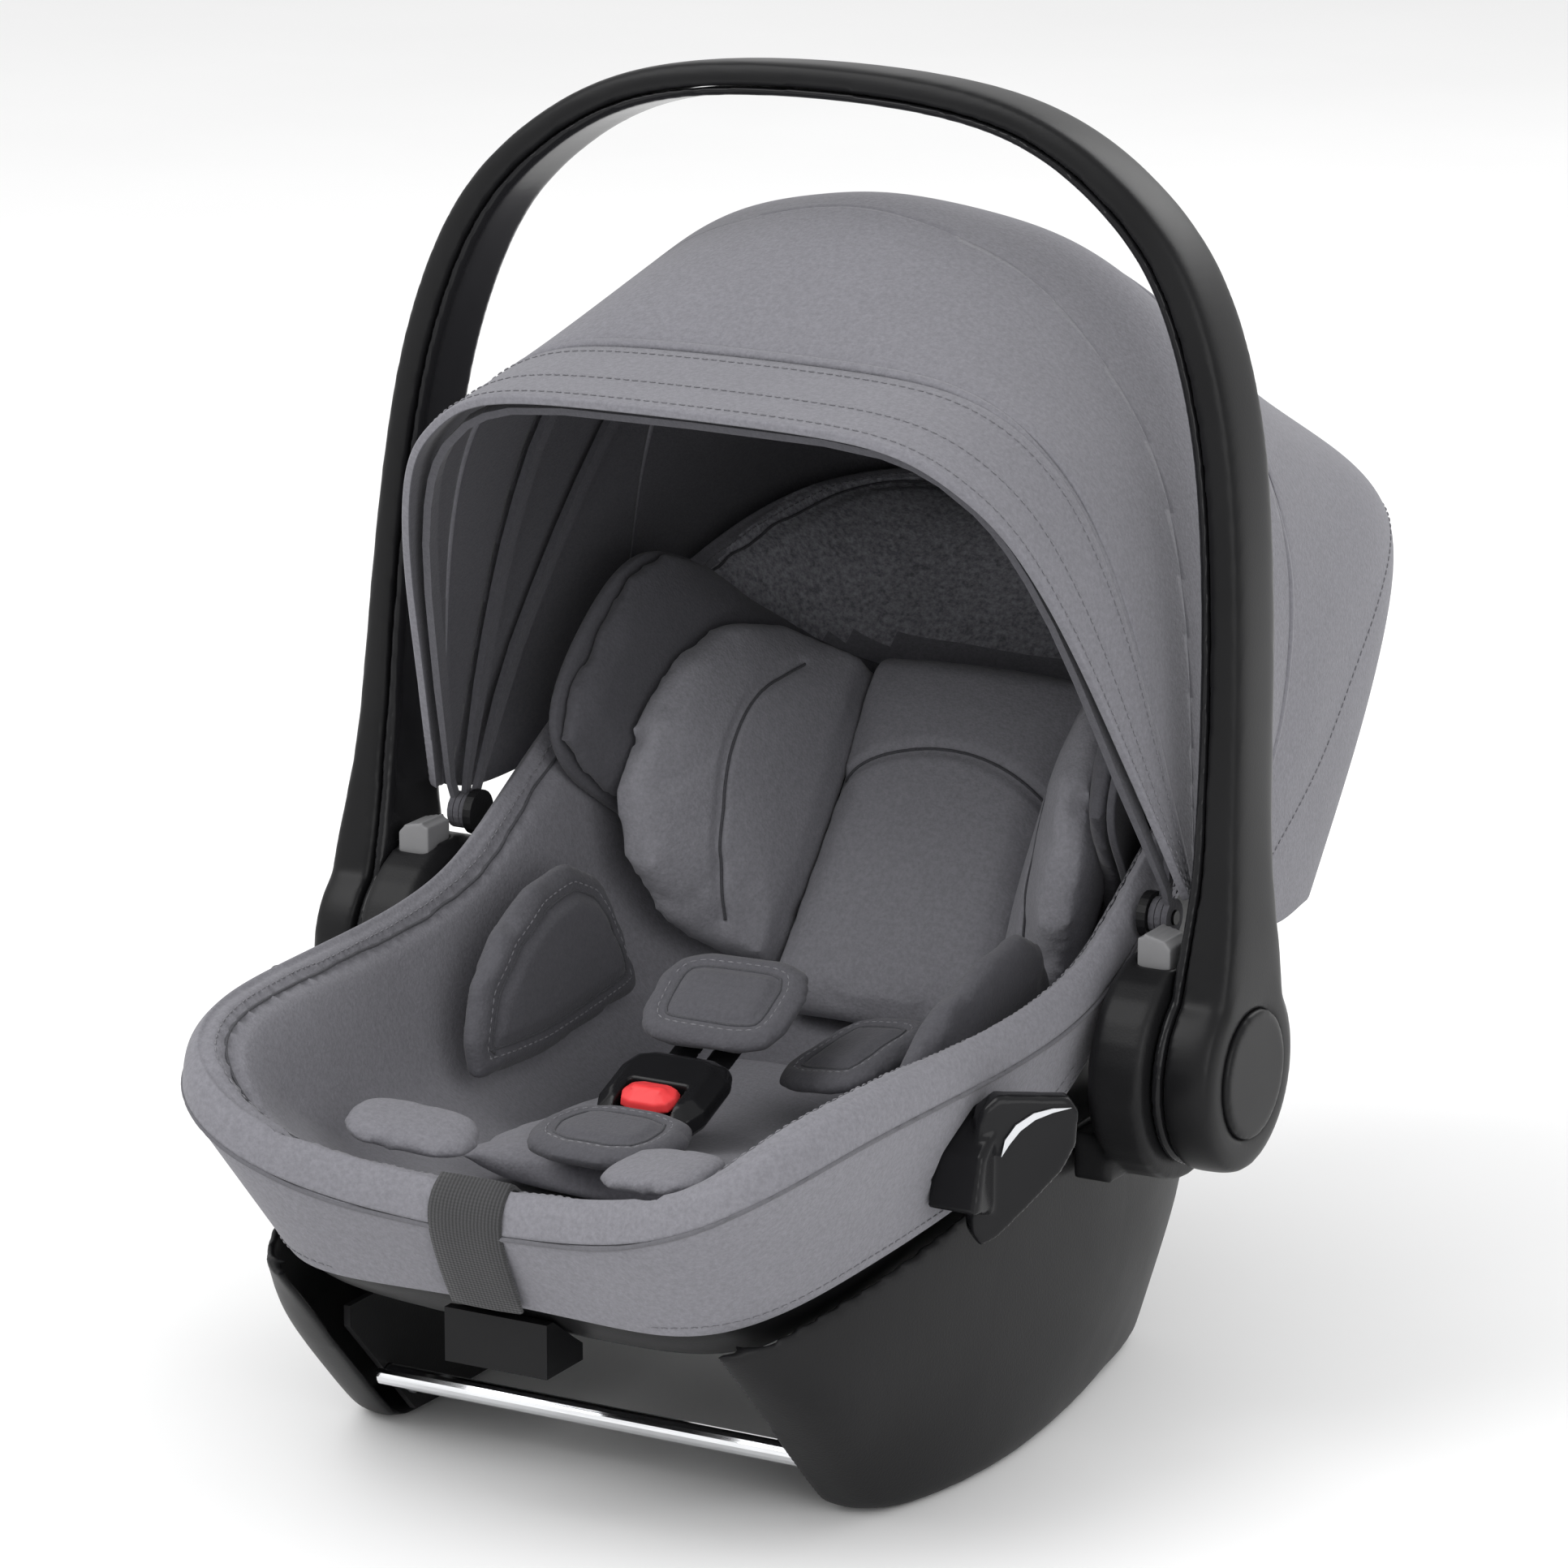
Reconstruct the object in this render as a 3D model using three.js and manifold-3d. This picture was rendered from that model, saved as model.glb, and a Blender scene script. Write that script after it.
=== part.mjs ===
// Infant car seat: a rear-facing carrier with a carrying handle, a folding hood, a sliding headrest,
// a three-point harness and two rocker feet that carry the latch rods.
// Millimetres. X runs across the seat, Y from the foot end (-) to the head end (+), Z up from the floor.
// The drawing's own zero is on the floor under the handle's hinge line; the finished group is moved so
// that its origin is the centre of the bottom of its box. "right" is +X, seen from the foot end.

import * as THREE from 'three';
import { mergeVertices } from 'three/addons/utils/BufferGeometryUtils.js';
import Module from 'manifold-3d';

const wasm = await Module();
wasm.setup();

// ---------------------------------------------------------------- driving dimensions

const OVERALL_HALF_WIDTH = 220;     // over the hub caps
const SEAT_HALF_WIDTH = 160;        // fabric body, at its widest
const FRONT_REACH = 277.5;          // hinge line to the foot end
const HEAD_REACH = 349.5;           // hinge line to the head end
const HINGE_HEIGHT = 161;           // handle's hinge line above the floor
const HANDLE_REACH = 400.5;          // hinge line to the outside of the grip
const HANDLE_LEAN = 5.8;            // degrees, towards the head end
const LEG_THICK = 19;               // across the seat
const LEG_DEEP = 40;
const GRIP_THICK = 15;
const GRIP_DEEP = 36;
const HUB_RADIUS = 43;
const HUB_THICK = 27;
const HUB_INNER_SKIN = 5;           // inner shell's share of the handle's thickness
const CAP_RADIUS = 27.5;
const CAP_THICK = 4;
const HOUSING_RADIUS = 49;
const HOUSING_INNER = 163.5;        // across, clear of the fabric
const PIN_RADIUS = 6;
const LOCK_GEAR_RADIUS = 30;
const LOCK_GEAR_THICK = 5;
const LOCK_TEETH = 12;
const SHELL_WALL = 3.5;
const LINER_WALL = 5;
const COVER_THICK = 2.5;
const SKIRT_THICK = 3;
const FOOT_INNER = 101;             // inner face of the rocker feet
const FOOT_WALL = 4;
const ROD_RADIUS = 4.75;
const FRONT_ROD = { y: -171, z: 28 };
const REAR_ROD = { y: 74, z: 24 };
const BOW_THICK = 3.5;
const BOW_DEEP = 7;
const BOW_NECK = 4;                 // depth of a bow's arm where it leaves its eyelet
const HOOD_PIVOT = { y: 12.5, z: 219 };
const HOOD_THICK = 4;
const EYELET_RADIUS = 8;
const WEBBING_WIDTH = 34;
const WEBBING_THICK = 2.4;
const BACK_ANGLE = 52;              // degrees, backrest from the floor
const BACK_FOOT = { y: 72.5, z: 142 };
const HEADREST_HALF_WIDTH = 139;
const HEADREST_SHELL = 4;
const GAP = 0.4;                    // between pieces that touch
const SLACK = 3;                    // around pieces that move

// The outline lists below are drawn at these sizes and stretch with the seat.
const DRAWN = { side: 160, front: 277.5, head: 349.5 };

const HALF_STEPS = 20;              // samples from the foot end round one side to the head end

// ---------------------------------------------------------------- small tools

const point = (x, y, z) => new THREE.Vector3(x, y, z);
const radians = THREE.MathUtils.degToRad;
const mix = (a, b, t) => a + (b - a) * t;

function seatPoint([x, y, z]) {
  const reach = y < 0 ? FRONT_REACH / DRAWN.front : HEAD_REACH / DRAWN.head;
  return point(x * SEAT_HALF_WIDTH / DRAWN.side, y * reach, z);
}

function smooth(points, steps) {
  const curve = new THREE.CatmullRomCurve3(points, false, 'centripetal');
  return Array.from({ length: steps + 1 }, (_, i) => curve.getPoint(i / steps));
}

// Half an outline, from the foot end to the head end along +X, mirrored into a closed loop.
function loopOf(list, steps = HALF_STEPS) {
  const half = smooth(list.map(seatPoint), steps);
  half[0].x = 0;
  half[steps].x = 0;
  const other = half.slice(1, -1).reverse().map(p => point(-p.x, p.y, p.z));
  return [...half, ...other];
}

// An arch, from its +X end over the middle to its -X end.
function archOf(half) {
  const last = half.length - 1;
  const other = half.slice(0, last).reverse().map(p => point(-p.x, p.y, p.z));
  return [...half, ...other];
}

function closedBody(geometry) {
  geometry.deleteAttribute('normal');
  geometry.deleteAttribute('uv');
  const merged = mergeVertices(geometry, 1e-3);
  const spots = merged.attributes.position;
  const kept = [];
  let volume = 0;
  const a = point(), b = point(), c = point();
  for (let i = 0; i < merged.index.count; i += 3) {
    const [i0, i1, i2] = [0, 1, 2].map(k => merged.index.getX(i + k));
    if (i0 === i1 || i1 === i2 || i2 === i0) continue;
    kept.push(i0, i1, i2);
    a.fromBufferAttribute(spots, i0);
    b.fromBufferAttribute(spots, i1);
    c.fromBufferAttribute(spots, i2);
    volume += a.dot(b.cross(c));
  }
  if (volume < 0) {
    for (let i = 0; i < kept.length; i += 3) [kept[i], kept[i + 1]] = [kept[i + 1], kept[i]];
  }
  merged.setIndex(kept);
  return merged;
}

// A body through a stack of rings with the same number of points. Each end is closed with a fan
// round its middle, with a band across a long thin section, or not at all where it is folded flat.
function stack(rings, firstEnd = 'fan', lastEnd = 'fan') {
  const count = rings[0].length;
  const spots = rings.flat().flatMap(p => [p.x, p.y, p.z]);
  const faces = [];
  for (let r = 0; r < rings.length - 1; r++) {
    for (let i = 0; i < count; i++) {
      const a = r * count + i, b = r * count + (i + 1) % count;
      faces.push(a, b, b + count, a, b + count, a + count);
    }
  }
  const closeEnd = (r, style) => {
    const turn = (a, b, c) => faces.push(...(r === 0 ? [b, a, c] : [a, b, c]));
    const start = r * count;
    if (style === 'fan') {
      const middle = rings[r].reduce((sum, p) => sum.add(p), point(0, 0, 0)).divideScalar(count);
      const hub = spots.length / 3;
      spots.push(middle.x, middle.y, middle.z);
      for (let i = 0; i < count; i++) turn(start + i, start + (i + 1) % count, hub);
    }
    if (style === 'band') {
      for (let i = 0; i < count / 2 - 1; i++) {
        const near = start + i, far = start + count - 1 - i;
        turn(near, near + 1, far);
        turn(near + 1, far - 1, far);
      }
    }
  };
  closeEnd(0, firstEnd);
  closeEnd(rings.length - 1, lastEnd);
  const geometry = new THREE.BufferGeometry();
  geometry.setAttribute('position', new THREE.Float32BufferAttribute(spots, 3));
  geometry.setIndex(faces);
  return closedBody(geometry);
}

// The direction that a grid of points faces at each point; the first ring may be folded flat.
function facing(rings, closed) {
  const count = rings[0].length;
  return rings.map((ring, r) => ring.map((_, i) => {
    const before = closed ? ring[(i + count - 1) % count] : ring[Math.max(i - 1, 0)];
    const after = closed ? ring[(i + 1) % count] : ring[Math.min(i + 1, count - 1)];
    const inner = rings[Math.max(r - 1, 0)][i];
    const outer = rings[Math.min(r + 1, rings.length - 1)][i];
    return after.clone().sub(before).cross(outer.clone().sub(inner)).normalize();
  }));
}

function offset(rings, normals, distance) {
  return rings.map((ring, r) => ring.map((p, i) => p.clone().addScaledVector(normals[r][i], distance)));
}

// A bowl of even wall: rings run from the folded spine out to the free edge.
function bowl(rings, wall, faced = facing(rings, true)) {
  const spine = faced[0].map(n => point(0, n.y, n.z).normalize());
  const normals = [spine, ...faced.slice(1)];
  const near = offset(rings, normals, 0);
  const far = offset(rings, normals, wall);
  near[0] = symmetric(near[0]);
  far[0] = symmetric(far[0]);
  return stack([...near, ...far.reverse()], 'none', 'none');
}

// Both sides of a folded ring, set to the same places.
function symmetric(ring) {
  const count = ring.length;
  return ring.map((p, i) => {
    const twin = ring[(count - i) % count];
    return point(0, (p.y + twin.y) / 2, (p.z + twin.z) / 2);
  });
}

// A curved panel of even thickness from a grid of arches, thickened to its inner side.
function panel(arches, thickness) {
  const normals = facing(arches, false);
  const inside = offset(arches, normals, thickness);
  const rings = arches.map((arch, r) => [...arch, ...inside[r].reverse()]);
  return stack(rings, 'band', 'band');
}

function mirrored(geometry) {
  const copy = geometry.clone();
  copy.scale(-1, 1, 1);
  return closedBody(copy);
}

function solid(geometry) {
  const body = closedBody(geometry.clone());
  return new wasm.Manifold(new wasm.Mesh({
    numProp: 3,
    vertProperties: new Float32Array(body.attributes.position.array),
    triVerts: new Uint32Array(body.index.array),
  }));
}

function geometryOf(manifold) {
  const mesh = manifold.getMesh();
  const geometry = new THREE.BufferGeometry();
  geometry.setAttribute('position', new THREE.Float32BufferAttribute(mesh.vertProperties, 3));
  geometry.setIndex(Array.from(mesh.triVerts));
  return closedBody(geometry);
}

const joined = (...list) => geometryOf(list.map(solid).reduce((a, b) => a.add(b)));
const cut = (body, ...tools) => geometryOf(tools.map(solid).reduce((a, b) => a.subtract(b), solid(body)));

// A cylinder along X from x0 to x1 at (y, z).
function axle(radius, x0, x1, y, z, sides = 20) {
  const geometry = new THREE.CylinderGeometry(radius, radius, x1 - x0, sides);
  geometry.rotateZ(Math.PI / 2);
  geometry.translate((x0 + x1) / 2, y, z);
  return geometry;
}

function block(x0, x1, y0, y1, z0, z1) {
  const geometry = new THREE.BoxGeometry(x1 - x0, y1 - y0, z1 - z0);
  geometry.translate((x0 + x1) / 2, (y0 + y1) / 2, (z0 + z1) / 2);
  return geometry;
}

// A rounded rectangle ring in the XY plane.
function roundedRing(halfX, halfY, corner, z, perCorner = 2) {
  const ring = [];
  for (const [sx, sy, from] of [[1, 1, 0], [-1, 1, 1], [-1, -1, 2], [1, -1, 3]]) {
    for (let i = 0; i <= perCorner; i++) {
      const angle = (from + i / perCorner) * Math.PI / 2;
      ring.push(point(sx * (halfX - corner) + corner * Math.cos(angle),
        sy * (halfY - corner) + corner * Math.sin(angle), z));
    }
  }
  return ring;
}

// A plain pad: a rounded slab with a crowned top and eased edges, centred on its base.
function pad(width, length, height, corner) {
  const level = (inset, up) => roundedRing(width / 2 - inset, length / 2 - inset, corner - inset * 0.6, up);
  return stack([level(4, 0), level(0, height * 0.35), level(1, height * 0.7), level(7, height)]);
}

// ---------------------------------------------------------------- the seat's main outlines

const RIM = loopOf([[0, -257, 151], [60, -262, 156], [103, -270, 169], [127, -264, 184], [140, -246, 194],
  [146, -217, 199], [149, -176, 200], [150, -136, 199.5], [151, -96, 199.5], [152, -56, 202],
  [152.8, -21, 209], [152.8, 10, 225], [152, 54, 252], [150, 113, 284], [147, 183, 306], [143, 238, 316],
  [135, 282, 320], [110, 312, 321], [62, 323, 321], [0, 325, 321]]);

const HEM = loopOf([[0, -246, 100], [60, -246, 98], [92, -245, 99], [115, -226, 104], [131, -190, 114],
  [140, -150, 121], [146, -100, 129], [151, -50, 145], [154, -15, 168], [155.5, 15, 188],
  [156, 60, 218], [154, 113, 248], [151, 183, 272], [145, 236, 284], [136, 278, 289], [108, 306, 291],
  [62, 318, 292], [0, 320, 292]]);

const SHELL_WAIST = loopOf([[0, -238, 94], [60, -238, 92], [90, -236, 93], [109, -222, 97],
  [124, -188, 107], [133, -150, 115], [139, -100, 123], [142, -50, 128], [143, 0, 132], [142, 50, 136],
  [140, 100, 146], [136, 150, 162], [131, 190, 172], [119, 220, 178], [95, 240, 181], [50, 252, 182],
  [0, 256, 182]]);

const SHELL_KEEL = loopOf([[0, -205, 72], [50, -205, 72], [80, -198, 72], [94, -180, 72], [96.5, -130, 72],
  [96.5, -60, 72], [96.5, 20, 72], [95, 80, 73], [88, 120, 79], [72, 145, 88], [48, 158, 95],
  [24, 163, 98], [0, 165, 98]]);

const SPINE_FRONT = -190;           // bucket floor, foot end
const SPINE_HEAD = 285;
const BUCKET_FLOOR = [[-190, 122], [-130, 106], [-60, 99], [0, 97], [60, 100], [112, 112],
  [160, 172], [214, 240], [260, 290], [285, 306]];

function tableAt(table, at) {
  const last = table.length - 1;
  if (at <= table[0][0]) return table[0][1];
  if (at >= table[last][0]) return table[last][1];
  const k = table.findIndex(row => row[0] > at) - 1;
  const t = (at - table[k][0]) / (table[k + 1][0] - table[k][0]);
  return mix(table[k][1], table[k + 1][1], t);
}

function alongSeat(y) {
  return y < 0 ? y * FRONT_REACH / DRAWN.front : y * HEAD_REACH / DRAWN.head;
}
const floorAt = y => tableAt(BUCKET_FLOOR.map(([at, z]) => [alongSeat(at), z]), y);

function insetLoop(loop, inset, drop) {
  const count = loop.length;
  return loop.map((p, i) => {
    const along = loop[(i + 1) % count].clone().sub(loop[(i + count - 1) % count]);
    const out = point(along.y, -along.x, 0).normalize();
    return point(p.x - out.x * inset, p.y - out.y * inset, p.z - drop);
  });
}

// A ring between the bucket's spine (0) and its inner edge (1); the wall steepens towards the edge.
const WALL_POWER = 5;
function bucketRing(edge, share) {
  return edge.map(p => {
    const home = THREE.MathUtils.clamp(p.y, alongSeat(SPINE_FRONT), alongSeat(SPINE_HEAD));
    const x = p.x * share;
    const y = mix(home, p.y, share);
    const floor = floorAt(y);
    return point(x, y, mix(floor, p.z, share ** WALL_POWER));
  });
}

// The cover's rounded edge: how far it stands out from the crest line, and how far down.
const EDGE_OUT = 6;
const EDGE_DROP = 5;
const SKIRT_OUT = 7.2;
const SKIRT_DROP = 17;

const COVER_INNER_EDGE = insetLoop(RIM, EDGE_OUT, EDGE_DROP);
const COVER_SHARES = [0, 0.12, 0.35, 0.62, 0.8, 0.88, 0.95];
const COVER_RINGS = [
  ...COVER_SHARES.map(share => bucketRing(COVER_INNER_EDGE, share)),
  COVER_INNER_EDGE,
  RIM,
  insetLoop(RIM, -EDGE_OUT, EDGE_DROP),
  insetLoop(RIM, -SKIRT_OUT, SKIRT_DROP),
  HEM,
];

// The shell runs just inside the cover down to its hem, then on to the waist and the keel.
const UNDER_COVER = COVER_THICK + 2;
function outerShellRings(grow) {
  const rim = insetLoop(RIM, UNDER_COVER - EDGE_OUT - grow, EDGE_DROP + 5);
  const shoulder = insetLoop(RIM, UNDER_COVER - SKIRT_OUT - grow, SKIRT_DROP);
  const hem = insetLoop(HEM, UNDER_COVER - grow, 0);
  const waist = insetLoop(SHELL_WAIST, -grow, 0);
  const keel = insetLoop(SHELL_KEEL, -grow, grow);
  const floor = keel.map(p => point(p.x * 0.5, mix(p.y, 0, 0.2), p.z - 2));
  const spine = symmetric(floor.map(p => point(0, p.y * 0.8, p.z)));
  return [spine, floor, keel, waist, hem, shoulder, rim];
}

// ---------------------------------------------------------------- shell, liner and cover

const outerShell = bowl(outerShellRings(0), -SHELL_WALL);
const shellFilled = stack(outerShellRings(1), 'none', 'fan');

// The cover is sewn from an inner bowl and a skirt; their seam runs just below the rounded edge.
const COVER_SEAM = COVER_RINGS.length - 2;
const coverNormals = facing(COVER_RINGS, true);
const coverBowl = bowl(COVER_RINGS.slice(0, COVER_SEAM + 1), COVER_THICK,
  coverNormals.slice(0, COVER_SEAM + 1));

// The bowl's head end, behind the headrest, is a panel of its own in a coarser cloth.
const HEAD_SEAM = 58;
const FAR = 500;
const beyond = y => block(-FAR, FAR, y, FAR, -FAR, FAR);
const before = y => block(-FAR, FAR, -FAR, y, -FAR, FAR);

function coverSkirt() {
  const top = insetLoop(COVER_RINGS[COVER_SEAM], 0, 2 * GAP);
  const rings = [top, ...COVER_RINGS.slice(COVER_SEAM + 1)];
  const inside = offset(rings, coverNormals.slice(COVER_SEAM), COVER_THICK);
  return stack([...rings, ...inside.reverse(), top], 'none', 'none');
}

// The foam liner follows the underside of the cover, short of the spine's fold.
const LINER_SPACE = 1.5;
const LINER_LEVELS = 5;
function linerBody() {
  const normals = coverNormals.slice(1, LINER_LEVELS);
  const rings = COVER_RINGS.slice(1, LINER_LEVELS);
  const near = offset(rings, normals, COVER_THICK + LINER_SPACE);
  const far = offset(rings, normals, COVER_THICK + LINER_SPACE + LINER_WALL);
  return stack([...far, ...near.reverse()], 'band', 'band');
}

// ---------------------------------------------------------------- rocker feet and latch rods

// Plan outlines of the right foot at rising levels: [x, y, z] from its inner front corner round the
// outside to its inner rear corner. The last level lies just under the hem of the cover.
const FOOT_LEVELS = [
  [[101, -153, 0], [116, -152, 0], [125, -147, 0], [134, -122, 0], [139, -90, 0], [140, -60, 0],
    [137, -20, 0], [131, 20, 0], [123, 56, 0], [114, 88, 0], [107, 95, 0], [101, 95, 0]],
  [[101, -160, 4], [118, -159, 4], [128, -153, 4], [138, -124, 4], [143, -90, 4], [144, -60, 4],
    [141, -20, 4], [136, 20, 4], [128, 60, 4], [119, 97, 4], [109, 104, 4], [101, 104, 4]],
  [[101, -187, 32], [118, -186, 32], [130, -178, 32], [143, -135, 32], [148, -95, 32], [150, -60, 32],
    [149, -20, 34], [145, 25, 38], [137, 72, 42], [126, 110, 44], [112, 117, 44], [101, 117, 44]],
  [[101, -222, 70], [118, -221, 70], [131, -212, 70], [144, -160, 70], [149, -110, 70], [151, -60, 70],
    [151, -10, 70], [149, 30, 72], [143, 80, 76], [133, 120, 80], [115, 131, 82], [101, 131, 82]],
  [[101, -248, 94], [114, -240, 96], [127, -212, 103], [139, -165, 112], [146, -110, 124],
    [149, -60, 134], [150, -10, 137], [148, 30, 139], [143, 80, 141], [133, 116, 143],
    [115, 126, 143], [101, 129, 140]],
];
const FOOT_STEPS = 16;

function footRings(inset, floorAt0) {
  return FOOT_LEVELS.map((level, k) => {
    const side = smooth(level.map(seatPoint), FOOT_STEPS);
    const count = side.length;
    return side.map((p, i) => {
      const along = side[Math.min(i + 1, count - 1)].clone().sub(side[Math.max(i - 1, 0)]);
      const out = point(along.y, -along.x, 0).normalize();
      const z = k === 0 ? floorAt0 : Math.max(p.z, floorAt0 + k);
      const x = p.x - out.x * inset;
      return point(inset ? Math.max(x, FOOT_INNER - inset) : Math.max(x, FOOT_INNER), p.y - out.y * inset, z);
    });
  });
}

function footOutline() {
  return stack(footRings(0, 0));
}

// The moulded recess inside a foot, open towards the other foot.
function footRecess() {
  const rings = footRings(FOOT_WALL, FOOT_WALL);
  const opened = rings.map(ring => {
    const first = ring[0], last = ring[ring.length - 1];
    const mouth = FOOT_INNER - 2;
    return [point(mouth, first.y, first.z), ...ring.slice(1, -1), point(mouth, last.y, last.z)];
  });
  return stack(opened);
}

const footRight = cut(footOutline(), footRecess(), shellFilled);

// The web that closes a foot's recess and holds the rods, as an outline in the YZ plane.
const WEB_THICK = 3;
const WEB_OUTER = FOOT_INNER - GAP;
function webRight() {
  const corners = [[-150, 6], [-200, 58], [-200, 67], [70, 67], [92, 40], [92, 12], [86, 6]];
  const outline = new THREE.Shape(corners.map(([y, z]) => new THREE.Vector2(y, z)));
  const plate = new THREE.ExtrudeGeometry(outline, { depth: WEB_THICK, bevelEnabled: false });
  plate.rotateX(Math.PI / 2);
  plate.rotateZ(Math.PI / 2);
  plate.translate(WEB_OUTER - WEB_THICK, 0, 0);
  const bores = [FRONT_ROD, REAR_ROD].map(rod =>
    axle(ROD_RADIUS + GAP, WEB_OUTER - WEB_THICK - 1, WEB_OUTER + 1, rod.y, rod.z, 16));
  return cut(plate, ...bores);
}

const rod = place => axle(ROD_RADIUS, -WEB_OUTER, WEB_OUTER, place.y, place.z, 16);

const SCREW = { y: FRONT_ROD.y + 17, z: FRONT_ROD.z - 10, radius: 3.2, height: 2.2 };
const screwHead = () => axle(SCREW.radius, WEB_OUTER - WEB_THICK - GAP - SCREW.height,
  WEB_OUTER - WEB_THICK - GAP, SCREW.y, SCREW.z, 12);

// ---------------------------------------------------------------- handle

const HUB_OUTER = OVERALL_HALF_WIDTH - 2;
const HUB_INNER = HUB_OUTER - HUB_THICK;
const HUB_MIDDLE = (HUB_OUTER + HUB_INNER) / 2;
const DRAWN_REACH = 400.5;
const HANDLE_STEPS = 17;

// Middle of the handle's section: [half width, distance from the hinge line, thickness, depth].
const HANDLE_LINE = [[HUB_MIDDLE, -8, HUB_THICK, 60], [HUB_MIDDLE, 22, HUB_THICK, 62],
  [HUB_MIDDLE, 48, HUB_THICK, 52], [HUB_MIDDLE - 0.5, 76, 22, 43], [HUB_MIDDLE - 2, 110, 20, LEG_DEEP],
  [200.5, 170, LEG_THICK, LEG_DEEP], [194.5, 240, LEG_THICK, LEG_DEEP], [184.5, 284, LEG_THICK, LEG_DEEP],
  [171, 318, LEG_THICK, 39], [156, 340, 18, 38], [133, 361, 17, 38], [102, 379.5, 16, 37],
  [63, 389.5, GRIP_THICK, GRIP_DEEP], [0, 393, GRIP_THICK, GRIP_DEEP]];

const lean = radians(HANDLE_LEAN);
const handlePoint = (x, reach, depth) => point(x,
  reach * Math.sin(lean) + depth * Math.cos(lean),
  HINGE_HEIGHT + reach * Math.cos(lean) - depth * Math.sin(lean));

function handleStations() {
  const scale = reach => (reach > 0 ? reach * HANDLE_REACH / DRAWN_REACH : reach);
  const line = smooth(HANDLE_LINE.map(([x, reach]) => point(x, scale(reach), 0)), HANDLE_STEPS);
  const sizes = smooth(HANDLE_LINE.map(([, , thick, deep]) => point(thick, deep, 0)), HANDLE_STEPS);
  const half = line.map((p, i) => ({ x: p.x, reach: p.y, thick: sizes[i].x, deep: sizes[i].y }));
  const other = half.slice(0, -1).reverse().map(s => ({ ...s, x: -s.x }));
  return [...half, ...other];
}

// A shell of the handle between two shares of its thickness, 0 at the inner face and 1 at the outer.
function handleShell(from, to, corners) {
  const stations = handleStations();
  const rings = stations.map((s, i) => {
    const before = stations[Math.max(i - 1, 0)], after = stations[Math.min(i + 1, stations.length - 1)];
    const run = new THREE.Vector2(after.x - before.x, after.reach - before.reach).normalize();
    const out = new THREE.Vector2(run.y, -run.x);
    const low = -s.thick / 2 + from(s), high = -s.thick / 2 + to(s);
    return corners(s.deep / 2, low, high).map(([depth, across]) =>
      handlePoint(s.x + out.x * across, s.reach + out.y * across, depth));
  });
  return stack(rings);
}

// Sections: the outer shell is rounded outside, the inner shell is a thin lid rounded inside.
function outerSection(half, low, high) {
  const ease = Math.min(6, (high - low) * 0.45);
  return [[half, low], [half, high - ease], [half - ease * 0.3, high - ease * 0.3],
    [half - ease, high], [ease - half, high], [ease * 0.3 - half, high - ease * 0.3],
    [-half, high - ease], [-half, low]];
}
function innerSection(half, low, high) {
  const edge = half - 1.2;
  const eased = edge - 2.5;
  return [[edge, low + 2], [edge, high], [-edge, high], [-edge, low + 2], [-eased, low], [eased, low]];
}

const splitAt = station => Math.min(HUB_INNER_SKIN, station.thick * 0.24);

// A disc of the hub with its rim eased on the outer side.
function hubDisc(radius, x0, x1, ease) {
  const profile = [[0, x0], [radius, x0], [radius, x1 - ease], [radius - ease * 0.3, x1 - ease * 0.3],
    [radius - ease, x1], [0, x1]];
  const disc = new THREE.LatheGeometry(profile.map(([r, x]) => new THREE.Vector2(r, x)), 32);
  disc.rotateZ(-Math.PI / 2);
  disc.translate(0, 0, HINGE_HEIGHT);
  return disc;
}

function bothSides(make) {
  const right = make();
  return [right, mirrored(right)];
}

const HUB_SPLIT = HUB_INNER + HUB_INNER_SKIN;
const capSeat = () => axle(CAP_RADIUS + GAP, HUB_OUTER - CAP_THICK + 1, HUB_OUTER + 9, 0, HINGE_HEIGHT, 32);
const pinBore = () => axle(PIN_RADIUS + GAP, HUB_INNER - 2, HUB_SPLIT + 10, 0, HINGE_HEIGHT, 20);

const handleOuter = cut(
  joined(handleShell(s => splitAt(s) + GAP, s => s.thick, outerSection),
    ...bothSides(() => hubDisc(HUB_RADIUS, HUB_SPLIT + GAP, HUB_OUTER, 6))),
  ...bothSides(capSeat), ...bothSides(pinBore));
const handleInner = cut(
  joined(handleShell(() => 0, splitAt, innerSection),
    ...bothSides(() => hubDisc(HUB_RADIUS - 1.2, HUB_INNER, HUB_SPLIT, 0.6))),
  ...bothSides(pinBore));

const hubCap = () => axle(CAP_RADIUS, HUB_OUTER - CAP_THICK + 1 + GAP, OVERALL_HALF_WIDTH,
  0, HINGE_HEIGHT, 32);
const hingePin = () => axle(PIN_RADIUS, HOUSING_INNER + 1, HUB_SPLIT + 9, 0, HINGE_HEIGHT, 20);

// ---------------------------------------------------------------- hub housings and their works

const HOUSING_OUTER = HUB_INNER - 0.8;
const POCKET_DEEP = LOCK_GEAR_THICK + 1;

function turned(profile, sides) {
  const closed = [...profile, profile[0]].map(([r, x]) => new THREE.Vector2(r, x));
  const geometry = new THREE.LatheGeometry(closed, sides);
  geometry.rotateZ(-Math.PI / 2);
  geometry.translate(0, 0, HINGE_HEIGHT);
  return geometry;
}

const BUTTON = { y: -7, halfWide: 9, x0: 172, x1: 187, top: 221, travel: 4 };

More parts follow.
